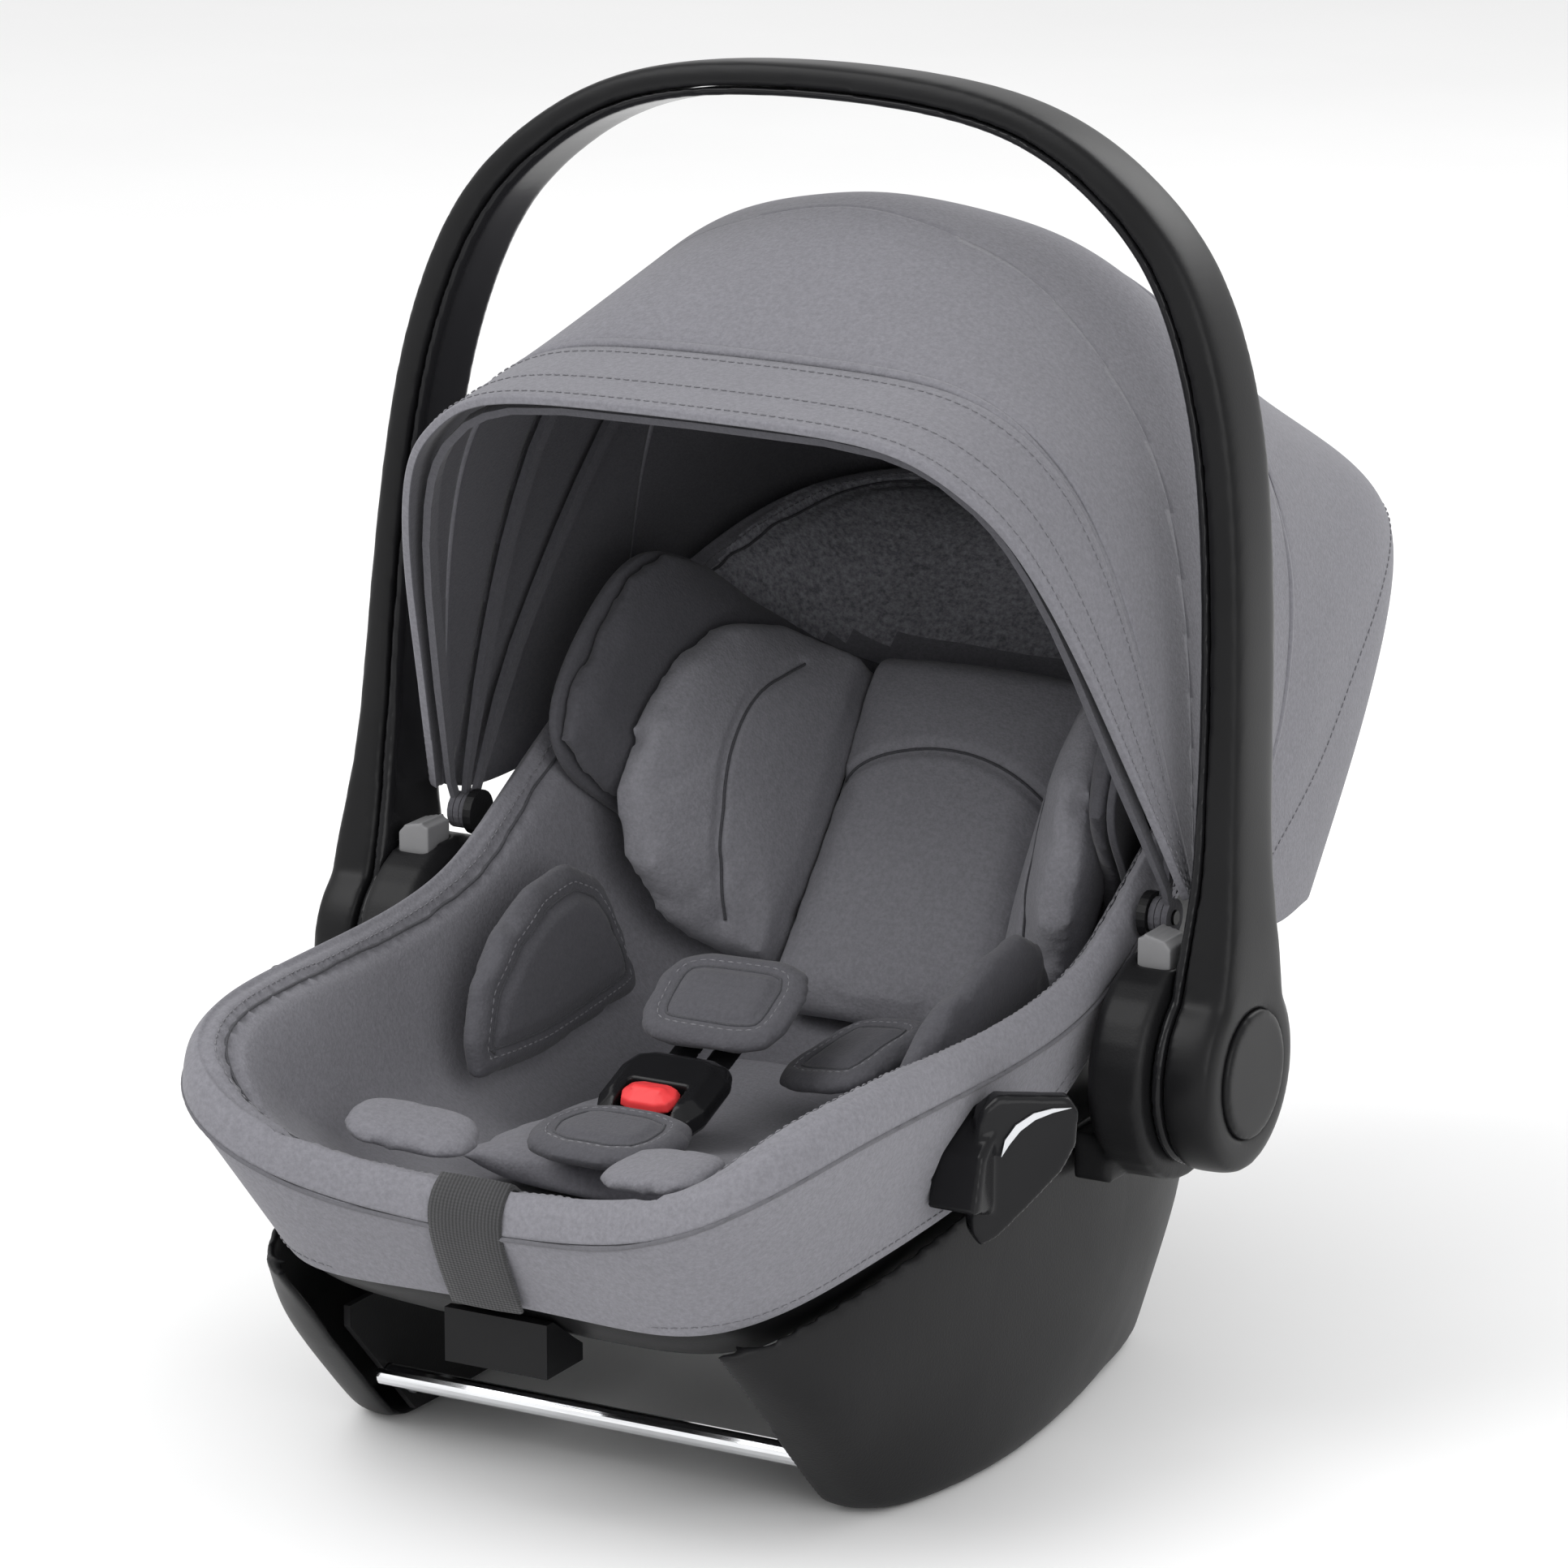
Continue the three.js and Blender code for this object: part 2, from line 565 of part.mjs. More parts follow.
function housingRight() {
  const floor = HOUSING_OUTER - POCKET_DEEP;
  const drum = turned([[PIN_RADIUS + GAP, HOUSING_INNER], [HOUSING_RADIUS - 5, HOUSING_INNER],
    [HOUSING_RADIUS, HOUSING_INNER + 5], [HOUSING_RADIUS, HOUSING_OUTER - 2],
    [HOUSING_RADIUS - 2, HOUSING_OUTER], [LOCK_GEAR_RADIUS + 1, HOUSING_OUTER],
    [LOCK_GEAR_RADIUS + 1, floor], [PIN_RADIUS + GAP, floor]], 32);
  const flange = block(152, HOUSING_INNER + 6, -34, 30, HINGE_HEIGHT - 46, HINGE_HEIGHT - 26);
  const slot = block(BUTTON.x0 - GAP, BUTTON.x1 + GAP, BUTTON.y - BUTTON.halfWide - GAP,
    BUTTON.y + BUTTON.halfWide + GAP, HINGE_HEIGHT + LOCK_GEAR_RADIUS + 3, HINGE_HEIGHT + 80);
  return cut(joined(drum, flange), slot);
}

function lockRing() {
  const outline = new THREE.Shape();
  const steps = LOCK_TEETH * 4;
  for (let i = 0; i < steps; i++) {
    const radius = i % 4 < 2 ? LOCK_GEAR_RADIUS : LOCK_GEAR_RADIUS - 3.5;
    const angle = i / steps * 2 * Math.PI;
    const spot = [radius * Math.cos(angle), radius * Math.sin(angle)];
    if (i) outline.lineTo(...spot);
    else outline.moveTo(...spot);
  }
  const bore = new THREE.Path();
  bore.absarc(0, 0, PIN_RADIUS + 3, 0, 2 * Math.PI, true);
  outline.holes.push(bore);
  const ring = new THREE.ExtrudeGeometry(outline, { depth: LOCK_GEAR_THICK, bevelEnabled: false,
    curveSegments: 10 });
  ring.rotateY(Math.PI / 2);
  ring.translate(HOUSING_OUTER - POCKET_DEEP + GAP, 0, HINGE_HEIGHT);
  return ring;
}

// The thumb button: a ribbed wedge that sinks into its slot in the housing.
function releaseButton() {
  const { y, halfWide, x0, x1, top } = BUTTON;
  const foot = HINGE_HEIGHT + LOCK_GEAR_RADIUS + 3 + GAP + BUTTON.travel + 5;
  const side = [[x0, foot], [x1, foot], [x1, top - 7], [x1 - 2, top - 5]];
  const ribs = 4;
  for (let i = 0; i < ribs; i++) {
    const x = x1 - 3 - i * 2.6;
    side.push([x, top - 3.6 + i * 0.6], [x - 1.2, top - 3.6 + i * 0.6], [x - 1.2, top - 4.6 + i * 0.6]);
  }
  side.push([x0, top - 4]);
  const outline = new THREE.Shape(side.map(([x, z]) => new THREE.Vector2(x, z)));
  const wedge = new THREE.ExtrudeGeometry(outline, { depth: halfWide * 2, bevelEnabled: false });
  wedge.rotateX(Math.PI / 2);
  wedge.translate(0, y + halfWide, 0);
  return wedge;
}

// A coil spring along Z as a swept helix.
function coilSpring(x, y, z0, z1, radius, wire, turns) {
  class Helix extends THREE.Curve {
    getPoint(t) {
      const angle = t * turns * 2 * Math.PI;
      return point(x + radius * Math.cos(angle), y + radius * Math.sin(angle), mix(z0 + wire, z1 - wire, t));
    }
  }
  const section = new THREE.Shape();
  const sides = 4;
  for (let i = 0; i < sides; i++) {
    const angle = i / sides * 2 * Math.PI;
    section[i ? 'lineTo' : 'moveTo'](wire * Math.cos(angle), wire * Math.sin(angle));
  }
  return closedBody(new THREE.ExtrudeGeometry(section, { steps: turns * 7, extrudePath: new Helix() }));
}

const buttonSpring = () => coilSpring((BUTTON.x0 + BUTTON.x1) / 2, BUTTON.y,
  HINGE_HEIGHT + LOCK_GEAR_RADIUS + 3 + GAP, HINGE_HEIGHT + LOCK_GEAR_RADIUS + 3 + BUTTON.travel + 5,
  4, 0.6, 3);

// ---------------------------------------------------------------- belt guides

// Front view of a belt guide's paddle: [outward, z].
const PADDLE = [[-3, 176], [4, 181], [34, 178], [38, 172], [37, 158], [31, 147], [18, 134], [4, 121],
  [-3, 118], [-7, 124], [-8, 140], [-7, 160]];
const PADDLE_THICK = 11;
const PADDLE_ROOT = { x: 167, y: -137 };
const PADDLE_SWEEP = 44;            // degrees back from straight across

function paddlePlate(outline, thick, bevel) {
  const shape = new THREE.Shape(outline.map(([u, z]) => new THREE.Vector2(u, z)));
  const plate = new THREE.ExtrudeGeometry(shape, { depth: thick - 2 * bevel, bevelThickness: bevel,
    bevelSize: bevel, bevelOffset: -bevel, bevelSegments: 2 });
  plate.translate(0, 0, bevel);
  plate.rotateX(Math.PI / 2);
  plate.translate(0, thick, 0);
  plate.rotateZ(radians(PADDLE_SWEEP));
  plate.translate(PADDLE_ROOT.x, PADDLE_ROOT.y, 0);
  return plate;
}

const ARM_OUTLINE = [[-152, 136], [-118, 128], [-112, 150], [-114, 172], [-128, 173], [-146, 158]];
function guideArm(grow) {
  const middle = new THREE.Vector2(-128, 152);
  const outline = ARM_OUTLINE.map(([y, z]) => {
    const spoke = new THREE.Vector2(y, z).sub(middle);
    return spoke.setLength(spoke.length() + grow).add(middle);
  });
  return stack([146.5, PADDLE_ROOT.x + 2].map(x => outline.map(p => point(x, p.x, p.y))));
}

function beltGuide() {
  return joined(paddlePlate(PADDLE, PADDLE_THICK, 2), guideArm(0));
}

// The light line that follows the paddle's upper edge.
function guideTrim() {
  const band = [[4.5, 156], [6, 163], [10.5, 169], [18, 173.4], [26, 174.8], [34, 174.4],
    [26, 173], [18.6, 170.6], [12.4, 166.4], [8, 161.2]];
  const shape = new THREE.Shape(band.map(([u, z]) => new THREE.Vector2(u, z)));
  const strip = new THREE.ExtrudeGeometry(shape, { depth: 1, bevelEnabled: false });
  strip.rotateX(Math.PI / 2);
  strip.translate(0, -GAP - 0.1, 0);
  strip.rotateZ(radians(PADDLE_SWEEP));
  strip.translate(PADDLE_ROOT.x, PADDLE_ROOT.y, 0);
  return strip;
}

// ---------------------------------------------------------------- hood

const hoodScale = p => point(p.x * SEAT_HALF_WIDTH / DRAWN.side, p.y, p.z);
const bowPoint = (angle, x, reach) => point(x, HOOD_PIVOT.y + reach * Math.sin(radians(angle)),
  HOOD_PIVOT.z + reach * Math.cos(radians(angle)));
const FRONT_ANGLE = -26.6;
const SEAM_ANGLE = -11;
const MIDDLE_ANGLE = 9.5;
const REAR_ANGLE = 30;
const HOOD_STEPS = 14;

// Half outlines of the hood's ribs as [half width, distance from the pivot].
const FRONT_RIB = [[185, 12], [179, 46], [170.5, 91], [165.5, 120], [157, 158], [148.5, 184], [142, 198],
  [133.5, 211], [114, 229], [97, 237], [74, 241.5], [0, 243]];
const SEAM_RIB = [[184, 12], [179, 46], [174, 78], [170, 107], [166, 127], [162, 144], [153.5, 170],
  [146, 186], [137, 199], [127, 209.5], [115, 218], [97, 226], [70, 230.5], [0, 232]];
const CROWN_RIB = [[182, 34, 224], [179, 46, 262], [174, 54, 310], [166, 57, 355], [152, 59, 400],
  [124, 60, 440], [76, 60, 480], [0, 59.5, 500]];
const BACK_RIB = [[176, 66, 226], [173, 92, 262], [170, 100, 310], [165, 103, 352], [151, 103, 404],
  [122, 102, 452], [72, 104, 484], [0, 106, 493]];
const TAIL_RIB = [[168, 88, 230], [166, 128, 264], [165, 143, 310], [161, 146, 350], [145, 143, 398],
  [113, 142, 440], [62, 146, 466], [0, 150, 475]];
const ribCurve = (list, angle) => {
  const points = list.map(([x, a, b]) => hoodScale(b === undefined ? bowPoint(angle, x, a) : point(x, a, b)));
  return smooth(points, HOOD_STEPS);
};
const FRONT_CURVE = ribCurve(FRONT_RIB, FRONT_ANGLE);
const SEAM_CURVE = ribCurve(SEAM_RIB, SEAM_ANGLE);
const DOME_CURVES = [SEAM_CURVE, ribCurve(CROWN_RIB), ribCurve(BACK_RIB), ribCurve(TAIL_RIB)];

// A curve part of the way between two of a list of curves, on a smooth surface through them all.
function between(curves, at) {
  return curves[0].map((_, i) => new THREE.CatmullRomCurve3(curves.map(c => c[i])).getPoint(at));
}
const spread = (curves, from, to, steps) => Array.from({ length: steps + 1 },
  (_, k) => archOf(between(curves, mix(from, to, k / steps))));

const hoodVisor = panel(spread([FRONT_CURVE, SEAM_CURVE], 0, 0.985, 2), HOOD_THICK);
const hoodDome = panel(spread(DOME_CURVES, 0.012, 0.992, 6), HOOD_THICK);

// Outer lines of the tail fabric that wraps the head end, from the hood down to its hem.
const TAIL_CREST = [[167, 100, 216], [166, 160, 258], [163, 190, 302], [157, 203, 340], [139, 215, 370],
  [106, 228, 394], [56, 238, 408], [0, 241, 412]];
const HEAD_CREST = [[166, 110, 204], [163, 172, 236], [160, 216, 282], [155, 258, 322], [140, 288, 344],
  [105, 313, 350], [55, 326, 352], [0, 331, 352]];
const HEAD_END = [[165, 118, 192], [161, 178, 214], [158, 226, 250], [152, 276, 286], [138, 310, 307],
  [104, 335, 309], [55, 347, 309], [0, 349.5, 309]];
const TAIL_HEM = [[163, 120, 184], [160, 152, 180], [156, 180, 180], [150, 199, 177], [139, 213, 175],
  [106, 243, 177], [56, 262, 179], [0, 268, 179]];
const TAIL_CURVES = [ribCurve(TAIL_RIB), ...[TAIL_CREST, HEAD_CREST, HEAD_END, TAIL_HEM].map(list =>
  smooth(list.map(seatPoint), HOOD_STEPS))];
const hoodTail = panel(spread(TAIL_CURVES, 0.006, 1, 7), SKIRT_THICK);

const EYELET_THICK = 2.6;
const NECK_REACH = 16;              // a bow's arm stands square to its eyelet as far as this
const PIVOT_PIN_RADIUS = 3;
const EYELET_AT = { rear: 166.4, middle: 169.4, front: 172.4 };
const BOW_SAMPLES = 60;

// Where a smooth surface through the curves crosses the plane through the pivot at one angle,
// as [half width, distance from the pivot].
function cutByPlane(curves, angle) {
  const angleOf = p => Math.atan2(p.y - HOOD_PIVOT.y, p.z - HOOD_PIVOT.z);
  const wanted = radians(angle);
  return curves[0].flatMap((_, i) => {
    const column = new THREE.CatmullRomCurve3(curves.map(curve => curve[i])).getPoints(BOW_SAMPLES);
    const k = column.findIndex((p, j) => j && angleOf(column[j - 1]) <= wanted && angleOf(p) >= wanted);
    if (k < 0) return [];
    const from = angleOf(column[k - 1]), to = angleOf(column[k]);
    const p = column[k - 1].clone().lerp(column[k], (wanted - from) / (to - from));
    return [new THREE.Vector2(p.x, Math.hypot(p.y - HOOD_PIVOT.y, p.z - HOOD_PIVOT.z))];
  });
}

// A flat bow in the plane at one angle, with an eyelet on each end for the pivot pin.
const BOW_INSET = HOOD_THICK + BOW_THICK / 2 + 4.4;
function hoodBow(curves, angle, eyelet) {
  const centre = eyelet + EYELET_THICK / 2;
  const flat = cutByPlane(curves, angle);
  const pulled = flat.map((p, i) => {
    const before = flat[Math.max(i - 1, 0)], after = flat[Math.min(i + 1, flat.length - 1)];
    const run = after.clone().sub(before).normalize();
    return new THREE.Vector2(Math.min(p.x - run.y * BOW_INSET, centre), p.y + run.x * BOW_INSET);
  }).filter(p => p.y > 40);
  pulled[pulled.length - 1].x = 0;
  const line = [new THREE.Vector2(centre, EYELET_RADIUS - 2), new THREE.Vector2(centre, NECK_REACH),
    ...pulled];
  const whole = [...line, ...line.slice(0, -1).reverse().map(p => new THREE.Vector2(-p.x, p.y))];
  const rings = whole.map((p, i) => {
    const before = whole[Math.max(i - 1, 0)], after = whole[Math.min(i + 1, whole.length - 1)];
    const run = after.clone().sub(before).normalize();
    const out = new THREE.Vector2(run.y, -run.x);
    const past = Math.max(p.y - NECK_REACH, 0);
    const thick = Math.min(BOW_THICK, EYELET_THICK + past * 0.02) / 2;
    const deep = Math.min(BOW_DEEP, BOW_NECK + past * 0.1) / 2;
    return [[thick, -deep], [thick, deep], [-thick, deep], [-thick, -deep]].map(([across, depth]) => {
      const base = bowPoint(angle, p.x + out.x * across, p.y + out.y * across);
      return base.add(point(0, depth * Math.cos(radians(angle)), -depth * Math.sin(radians(angle))));
    });
  });
  const ring = () => axle(EYELET_RADIUS, eyelet, eyelet + EYELET_THICK, HOOD_PIVOT.y, HOOD_PIVOT.z, 18);
  const hole = () => axle(PIVOT_PIN_RADIUS + GAP, eyelet - 1, eyelet + EYELET_THICK + 1,
    HOOD_PIVOT.y, HOOD_PIVOT.z, 14);
  return cut(joined(stack(rings), ...bothSides(ring)), ...bothSides(hole));
}

const FRONT_BOW_ANGLE = -24;
const frontBow = hoodBow([FRONT_CURVE, SEAM_CURVE], FRONT_BOW_ANGLE, EYELET_AT.front);
const middleBow = hoodBow(DOME_CURVES, MIDDLE_ANGLE, EYELET_AT.middle);
const rearBow = hoodBow(DOME_CURVES, REAR_ANGLE, EYELET_AT.rear);

// The clip that carries the three eyelets, on the shell's side.
function hoodClip() {
  const plate = axle(10, 162, EYELET_AT.rear - GAP, HOOD_PIVOT.y, HOOD_PIVOT.z, 20);
  const pin = axle(PIVOT_PIN_RADIUS, 165, EYELET_AT.front + EYELET_THICK + 1, HOOD_PIVOT.y, HOOD_PIVOT.z, 14);
  return joined(plate, pin);
}

// ---------------------------------------------------------------- headrest and body insert

const tilt = radians(BACK_ANGLE);
const backPoint = (x, up, out) => point(x,
  BACK_FOOT.y + up * Math.cos(tilt) - out * Math.sin(tilt),
  BACK_FOOT.z + up * Math.sin(tilt) + out * Math.cos(tilt));

const WING_POWER = 5;
const U_STEPS = 7;
// A U-shaped line across the backrest, from one wing's tip round the back to the other, drawn in
// by a distance square to itself.
function wingLine(half, back, tip, inset) {
  const line = [];
  for (let i = -U_STEPS; i <= U_STEPS; i++) {
    const share = Math.sin(i / U_STEPS * Math.PI / 2);
    line.push(new THREE.Vector2(half * share, back + (tip - back) * Math.abs(share) ** WING_POWER));
  }
  return line.map((p, i) => {
    const before = line[Math.max(i - 1, 0)], after = line[Math.min(i + 1, line.length - 1)];
    const run = after.clone().sub(before).normalize();
    const out = Math.min(p.y + run.x * inset, tip);
    return [p.x - run.y * inset, out];
  });
}

// Headrest levels: [up the backrest, how far the wings stand out, change of half width].
const HEADREST_LEVELS = [[51, 78, -3], [58, 104, -1], [80, 112, 0], [112, 110, -2], [142, 104, -5],
  [162, 88, -8], [171, 58, -11]];
const HEADREST_BACK = -46;
const HEADREST_PAD = 10;

function headrestBody(outer, inner) {
  const rings = HEADREST_LEVELS.map(([up, tip, narrow]) => {
    const far = wingLine(HEADREST_HALF_WIDTH + narrow, HEADREST_BACK, tip, outer);
    const near = wingLine(HEADREST_HALF_WIDTH + narrow, HEADREST_BACK, tip, inner);
    return [...far, ...near.reverse()].map(([x, out]) => backPoint(x, up, out));
  });
  return stack(rings, 'band', 'band');
}

const headrestShell = headrestBody(0, HEADREST_SHELL);
const headrestPad = headrestBody(HEADREST_SHELL + HEADREST_PAD, HEADREST_SHELL + 1);
const INSERT_BACK = HEADREST_BACK + HEADREST_SHELL + HEADREST_PAD + SLACK;

// The middle panel of the newborn insert, behind the child's back.
function insertBack() {
  const rings = [[-6, -12], [0, -2], [40, 0], [90, 0], [140, 0], [160, -2], [167, -10]].map(([up, out]) =>
    [[-54, INSERT_BACK], [54, INSERT_BACK], [56, out - 4], [30, out], [0, out + 1], [-30, out],
      [-56, out - 4]].map(([x, depth]) => backPoint(x, up, depth)));
  return stack(rings);
}

// A side pillow of the insert: [up, how far its tip stands out, thickness of its outer wall].
const PILLOW_LEVELS = [[10, 24, 12], [24, 54, 16], [50, 74, 18], [84, 82, 18], [118, 74, 17],
  [144, 56, 14], [160, 24, 10]];
const PILLOW_INNER = 57.5;

// Half width inside the headrest's pad at one height and depth.
function roomAt(up, out) {
  const tip = tableAt(HEADREST_LEVELS.map(level => [level[0], level[1]]), up);
  const narrow = tableAt(HEADREST_LEVELS.map(level => [level[0], level[2]]), up);
  const inset = HEADREST_SHELL + HEADREST_PAD + SLACK + 1;
  const line = wingLine(HEADREST_HALF_WIDTH + narrow, HEADREST_BACK, tip, inset).slice(U_STEPS);
  return tableAt(line.map(([x, depth]) => [depth, x]), out);
}
const PILLOW_STEPS = 6;

function insertPillow() {
  const rings = PILLOW_LEVELS.map(([up, tip, wall]) => {
    const far = [], near = [];
    for (let i = 0; i <= PILLOW_STEPS; i++) {
      const t = i / PILLOW_STEPS;
      const out = INSERT_BACK + 1.5 + (tip - INSERT_BACK) * t ** 3;
      const x = Math.max(roomAt(up, out), PILLOW_INNER);
      far.push([x, out]);
      const inner = mix(PILLOW_INNER, x - mix(0, wall, t), t);
      near.push([inner, Math.max(out, mix(0, tip - 4, t ** 2.2))]);
    }
    far[0][0] = PILLOW_INNER;
    return [...far, ...near.reverse()].map(([x, out]) => backPoint(x, up, out));
  });
  return stack(rings);
}

// ---------------------------------------------------------------- seat pads and harness

function placed(geometry, x, y, z, turnX = 0, turnZ = 0, turnY = 0) {
  geometry.rotateY(radians(turnY));
  geometry.rotateX(radians(turnX));
  geometry.rotateZ(radians(turnZ));
  geometry.translate(x, y, z);
  return geometry;
}

// The flat seat pad lies on the bucket floor.
function seatPad() {
  const rows = [[-176, 66], [-150, 78], [-90, 84], [-30, 84], [20, 78], [44, 66]].map(([y, half]) => {
    const along = alongSeat(y);
    const low = floorAt(along) + 5;
    return [[-half, low + 10], [-half * 0.6, low + 2], [0, low], [half * 0.6, low + 2], [half, low + 10],
      [half * 0.8, low + 16], [0, low + 15], [-half * 0.8, low + 16]].map(([x, z]) => point(x, along, z));
  });
  return stack(rows);
}

// A leaf-shaped hip pad that stands beside the child: side outline [y, z].
const HIP_OUTLINE = [[-102, 134], [-104, 152], [-92, 176], [-68, 196], [-34, 209], [-2, 211], [20, 200],
  [34, 178], [40, 152], [38, 140], [0, 134], [-50, 130]];
function hipPad() {
  const half = 7;
  const levels = [[-half, 9], [-half * 0.5, 2], [half * 0.5, 2], [half, 9]];
  const middle = point(0, -34, 168);
  const rings = levels.map(([across, inset]) => HIP_OUTLINE.map(([y, z]) => {
    const arm = point(0, y, z).sub(middle);
    const eased = arm.clone().multiplyScalar(1 - inset / arm.length());
    const leanOut = 0.16 * (z - 170);
    return point(104 + across + leanOut, middle.y + eased.y, middle.z + eased.z);
  }));
  return stack(rings);
}

const thighPad = side => placed(pad(64, 44, 14, 16), side * 60, -210, 147, 10, -side * 16, side * -9);
const crotchPad = placed(pad(70, 60, 13, 22), 6, -163, 140, 3);
// The buckle and its push button, which stands proud of a well in its front half.
const BUCKLE = { x: 0, y: -106, z: 142, tilt: 22, wide: 52, long: 46, high: 15, corner: 12 };
const PRESS = { wide: 27, long: 16, high: 10.5, corner: 7, ahead: 10, floor: 4.5, foot: 8.1 };
const onBuckle = geometry => placed(geometry, BUCKLE.x, BUCKLE.y, BUCKLE.z, BUCKLE.tilt);

function buckleBody() {
  const well = block(-PRESS.wide / 2 - GAP, PRESS.wide / 2 + GAP, -PRESS.long / 2 - GAP,
    PRESS.long / 2 + GAP, PRESS.floor, BUCKLE.high * 2);
  well.translate(0, -PRESS.ahead, 0);
  return cut(onBuckle(pad(BUCKLE.wide, BUCKLE.long, BUCKLE.high, BUCKLE.corner)), onBuckle(well));
}
function pressButton() {
  const cap = pad(PRESS.wide, PRESS.long, PRESS.high, PRESS.corner);
  cap.translate(0, -PRESS.ahead, PRESS.foot);
  return closedBody(onBuckle(cap));
}

const chestPadFolded = placed(pad(72, 60, 12, 18), 4, -62, 172, 26, 4);
const chestPadLying = placed(pad(58, 66, 12, 16), 50, -30, 146, 14, -14, -10);

// A harness tongue between the buckle and its chest pad.
const tongue = side => placed(pad(14, 24, 3, 4), BUCKLE.x + side * 9, BUCKLE.y + 33, BUCKLE.z + 14, 22);

// The adjuster strap leaves the bucket floor, runs over the front edge and down the skirt.
function adjusterStrap() {
  const normals = facing(COVER_RINGS, true);
  const rows = COVER_RINGS.map((ring, r) => ({ at: ring[0], out: normals[r][0].clone().negate() })).slice(5);
  const lift = 2.4;
  const low = rows.map(row => row.at.clone().addScaledVector(row.out, lift));
  const high = rows.map(row => row.at.clone().addScaledVector(row.out, lift + WEBBING_THICK));
  const half = WEBBING_WIDTH / 2;
  return stack(rows.map((_, r) => [[-half, low[r]], [half, low[r]], [half, high[r]], [-half, high[r]]]
    .map(([x, p]) => point(x, p.y, p.z))));
}

// The strap's guide under the front of the shell.
const BRACKET = { halfWide: 24, front: -244, rear: -216, low: 70, high: 93 };
const strapBracket = cut(
  block(-BRACKET.halfWide, BRACKET.halfWide, BRACKET.front, BRACKET.rear, BRACKET.low, BRACKET.high),
  shellFilled);

// ---------------------------------------------------------------- scene

const finishes = {
  shell: { color: 0x2f2f31, roughness: 0.6, metalness: 0 },
  handle: { color: 0x2a2a2c, roughness: 0.5, metalness: 0 },
  gloss: { color: 0x1d1d1f, roughness: 0.28, metalness: 0 },
  grey: { color: 0x8b8b8d, roughness: 0.55, metalness: 0 },
  silver: { color: 0xb9babd, roughness: 0.3, metalness: 0.6 },
  chrome: { color: 0xd8dade, roughness: 0.08, metalness: 1 },
  steel: { color: 0x9a9da2, roughness: 0.35, metalness: 1 },
  foam: { color: 0xe9e9e6, roughness: 0.9, metalness: 0 },
  fabric: { color: 0x88888e, roughness: 0.95, metalness: 0 },
  webbing: { color: 0x48484a, roughness: 0.85, metalness: 0 },
  red: { color: 0xe23b3f, roughness: 0.4, metalness: 0 },
};

const seat = new THREE.Group();
function add(name, geometry, finish) {
  const mesh = new THREE.Mesh(closedBody(geometry), new THREE.MeshStandardMaterial(finishes[finish]));
  mesh.name = name;
  seat.add(mesh);
}
function addPair(name, geometry, finish) {
  add(`${name}_right`, geometry.clone(), finish);
  add(`${name}_left`, mirrored(geometry), finish);
}

add('outer_shell', outerShell, 'shell');
add('foam_liner', linerBody(), 'foam');
add('seat_cover', cut(coverBowl, beyond(HEAD_SEAM - GAP / 2)), 'fabric');
add('head_panel', cut(coverBowl, before(HEAD_SEAM + GAP / 2)), 'fabric');
add('cover_skirt', cut(coverSkirt(), ...bothSides(() => guideArm(1))), 'fabric');
addPair('rocker_foot', footRight, 'shell');
addPair('foot_web', webRight(), 'shell');
add('front_rod', rod(FRONT_ROD), 'chrome');
add('rear_rod', rod(REAR_ROD), 'chrome');
addPair('web_screw', screwHead(), 'steel');
add('handle_outer', handleOuter, 'handle');
add('handle_inner', handleInner, 'gloss');
addPair('hub_cap', hubCap(), 'handle');
addPair('hinge_pin', hingePin(), 'steel');
addPair('hub_housing', housingRight(), 'shell');
addPair('lock_ring', lockRing(), 'steel');
addPair('release_button', releaseButton(), 'grey');
addPair('button_spring', buttonSpring(), 'steel');
addPair('belt_guide', cut(beltGuide(), shellFilled), 'handle');
addPair('belt_guide_trim', guideTrim(), 'silver');
add('hood_visor', hoodVisor, 'fabric');
add('hood_dome', hoodDome, 'fabric');
add('hood_tail', hoodTail, 'fabric');
add('hood_front_bow', frontBow, 'shell');
add('hood_middle_bow', middleBow, 'shell');
add('hood_rear_bow', rearBow, 'shell');
addPair('hood_clip', hoodClip(), 'shell');
add('headrest_shell', headrestShell, 'shell');
add('headrest_pad', headrestPad, 'fabric');
add('insert_back', insertBack(), 'fabric');
addPair('insert_pillow', insertPillow(), 'fabric');
add('seat_pad', seatPad(), 'fabric');
addPair('hip_pad', hipPad(), 'fabric');
add('thigh_pad_right', closedBody(thighPad(1)), 'fabric');
add('thigh_pad_left', closedBody(thighPad(-1)), 'fabric');
add('crotch_pad', closedBody(crotchPad), 'fabric');
add('chest_pad_left', chestPadFolded, 'fabric');
add('chest_pad_right', chestPadLying, 'fabric');
add('harness_tongue_right', tongue(1), 'gloss');
add('harness_tongue_left', tongue(-1), 'gloss');
add('adjuster_strap', adjusterStrap(), 'webbing');
add('strap_bracket', strapBracket, 'handle');
add('buckle', buckleBody(), 'gloss');
add('buckle_button', pressButton(), 'red');

seat.position.y = (FRONT_REACH - HEAD_REACH) / 2;

export default seat;
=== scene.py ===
"""Infant car seat: the fabrics, paddings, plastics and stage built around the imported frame."""

import math

import bmesh
import bpy
import numpy as np
from bpy.props import FloatProperty, FloatVectorProperty, IntProperty, PointerProperty
from bpy.types import Operator, Panel, PropertyGroup
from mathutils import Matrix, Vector
from mathutils.bvhtree import BVHTree
from mathutils.kdtree import KDTree


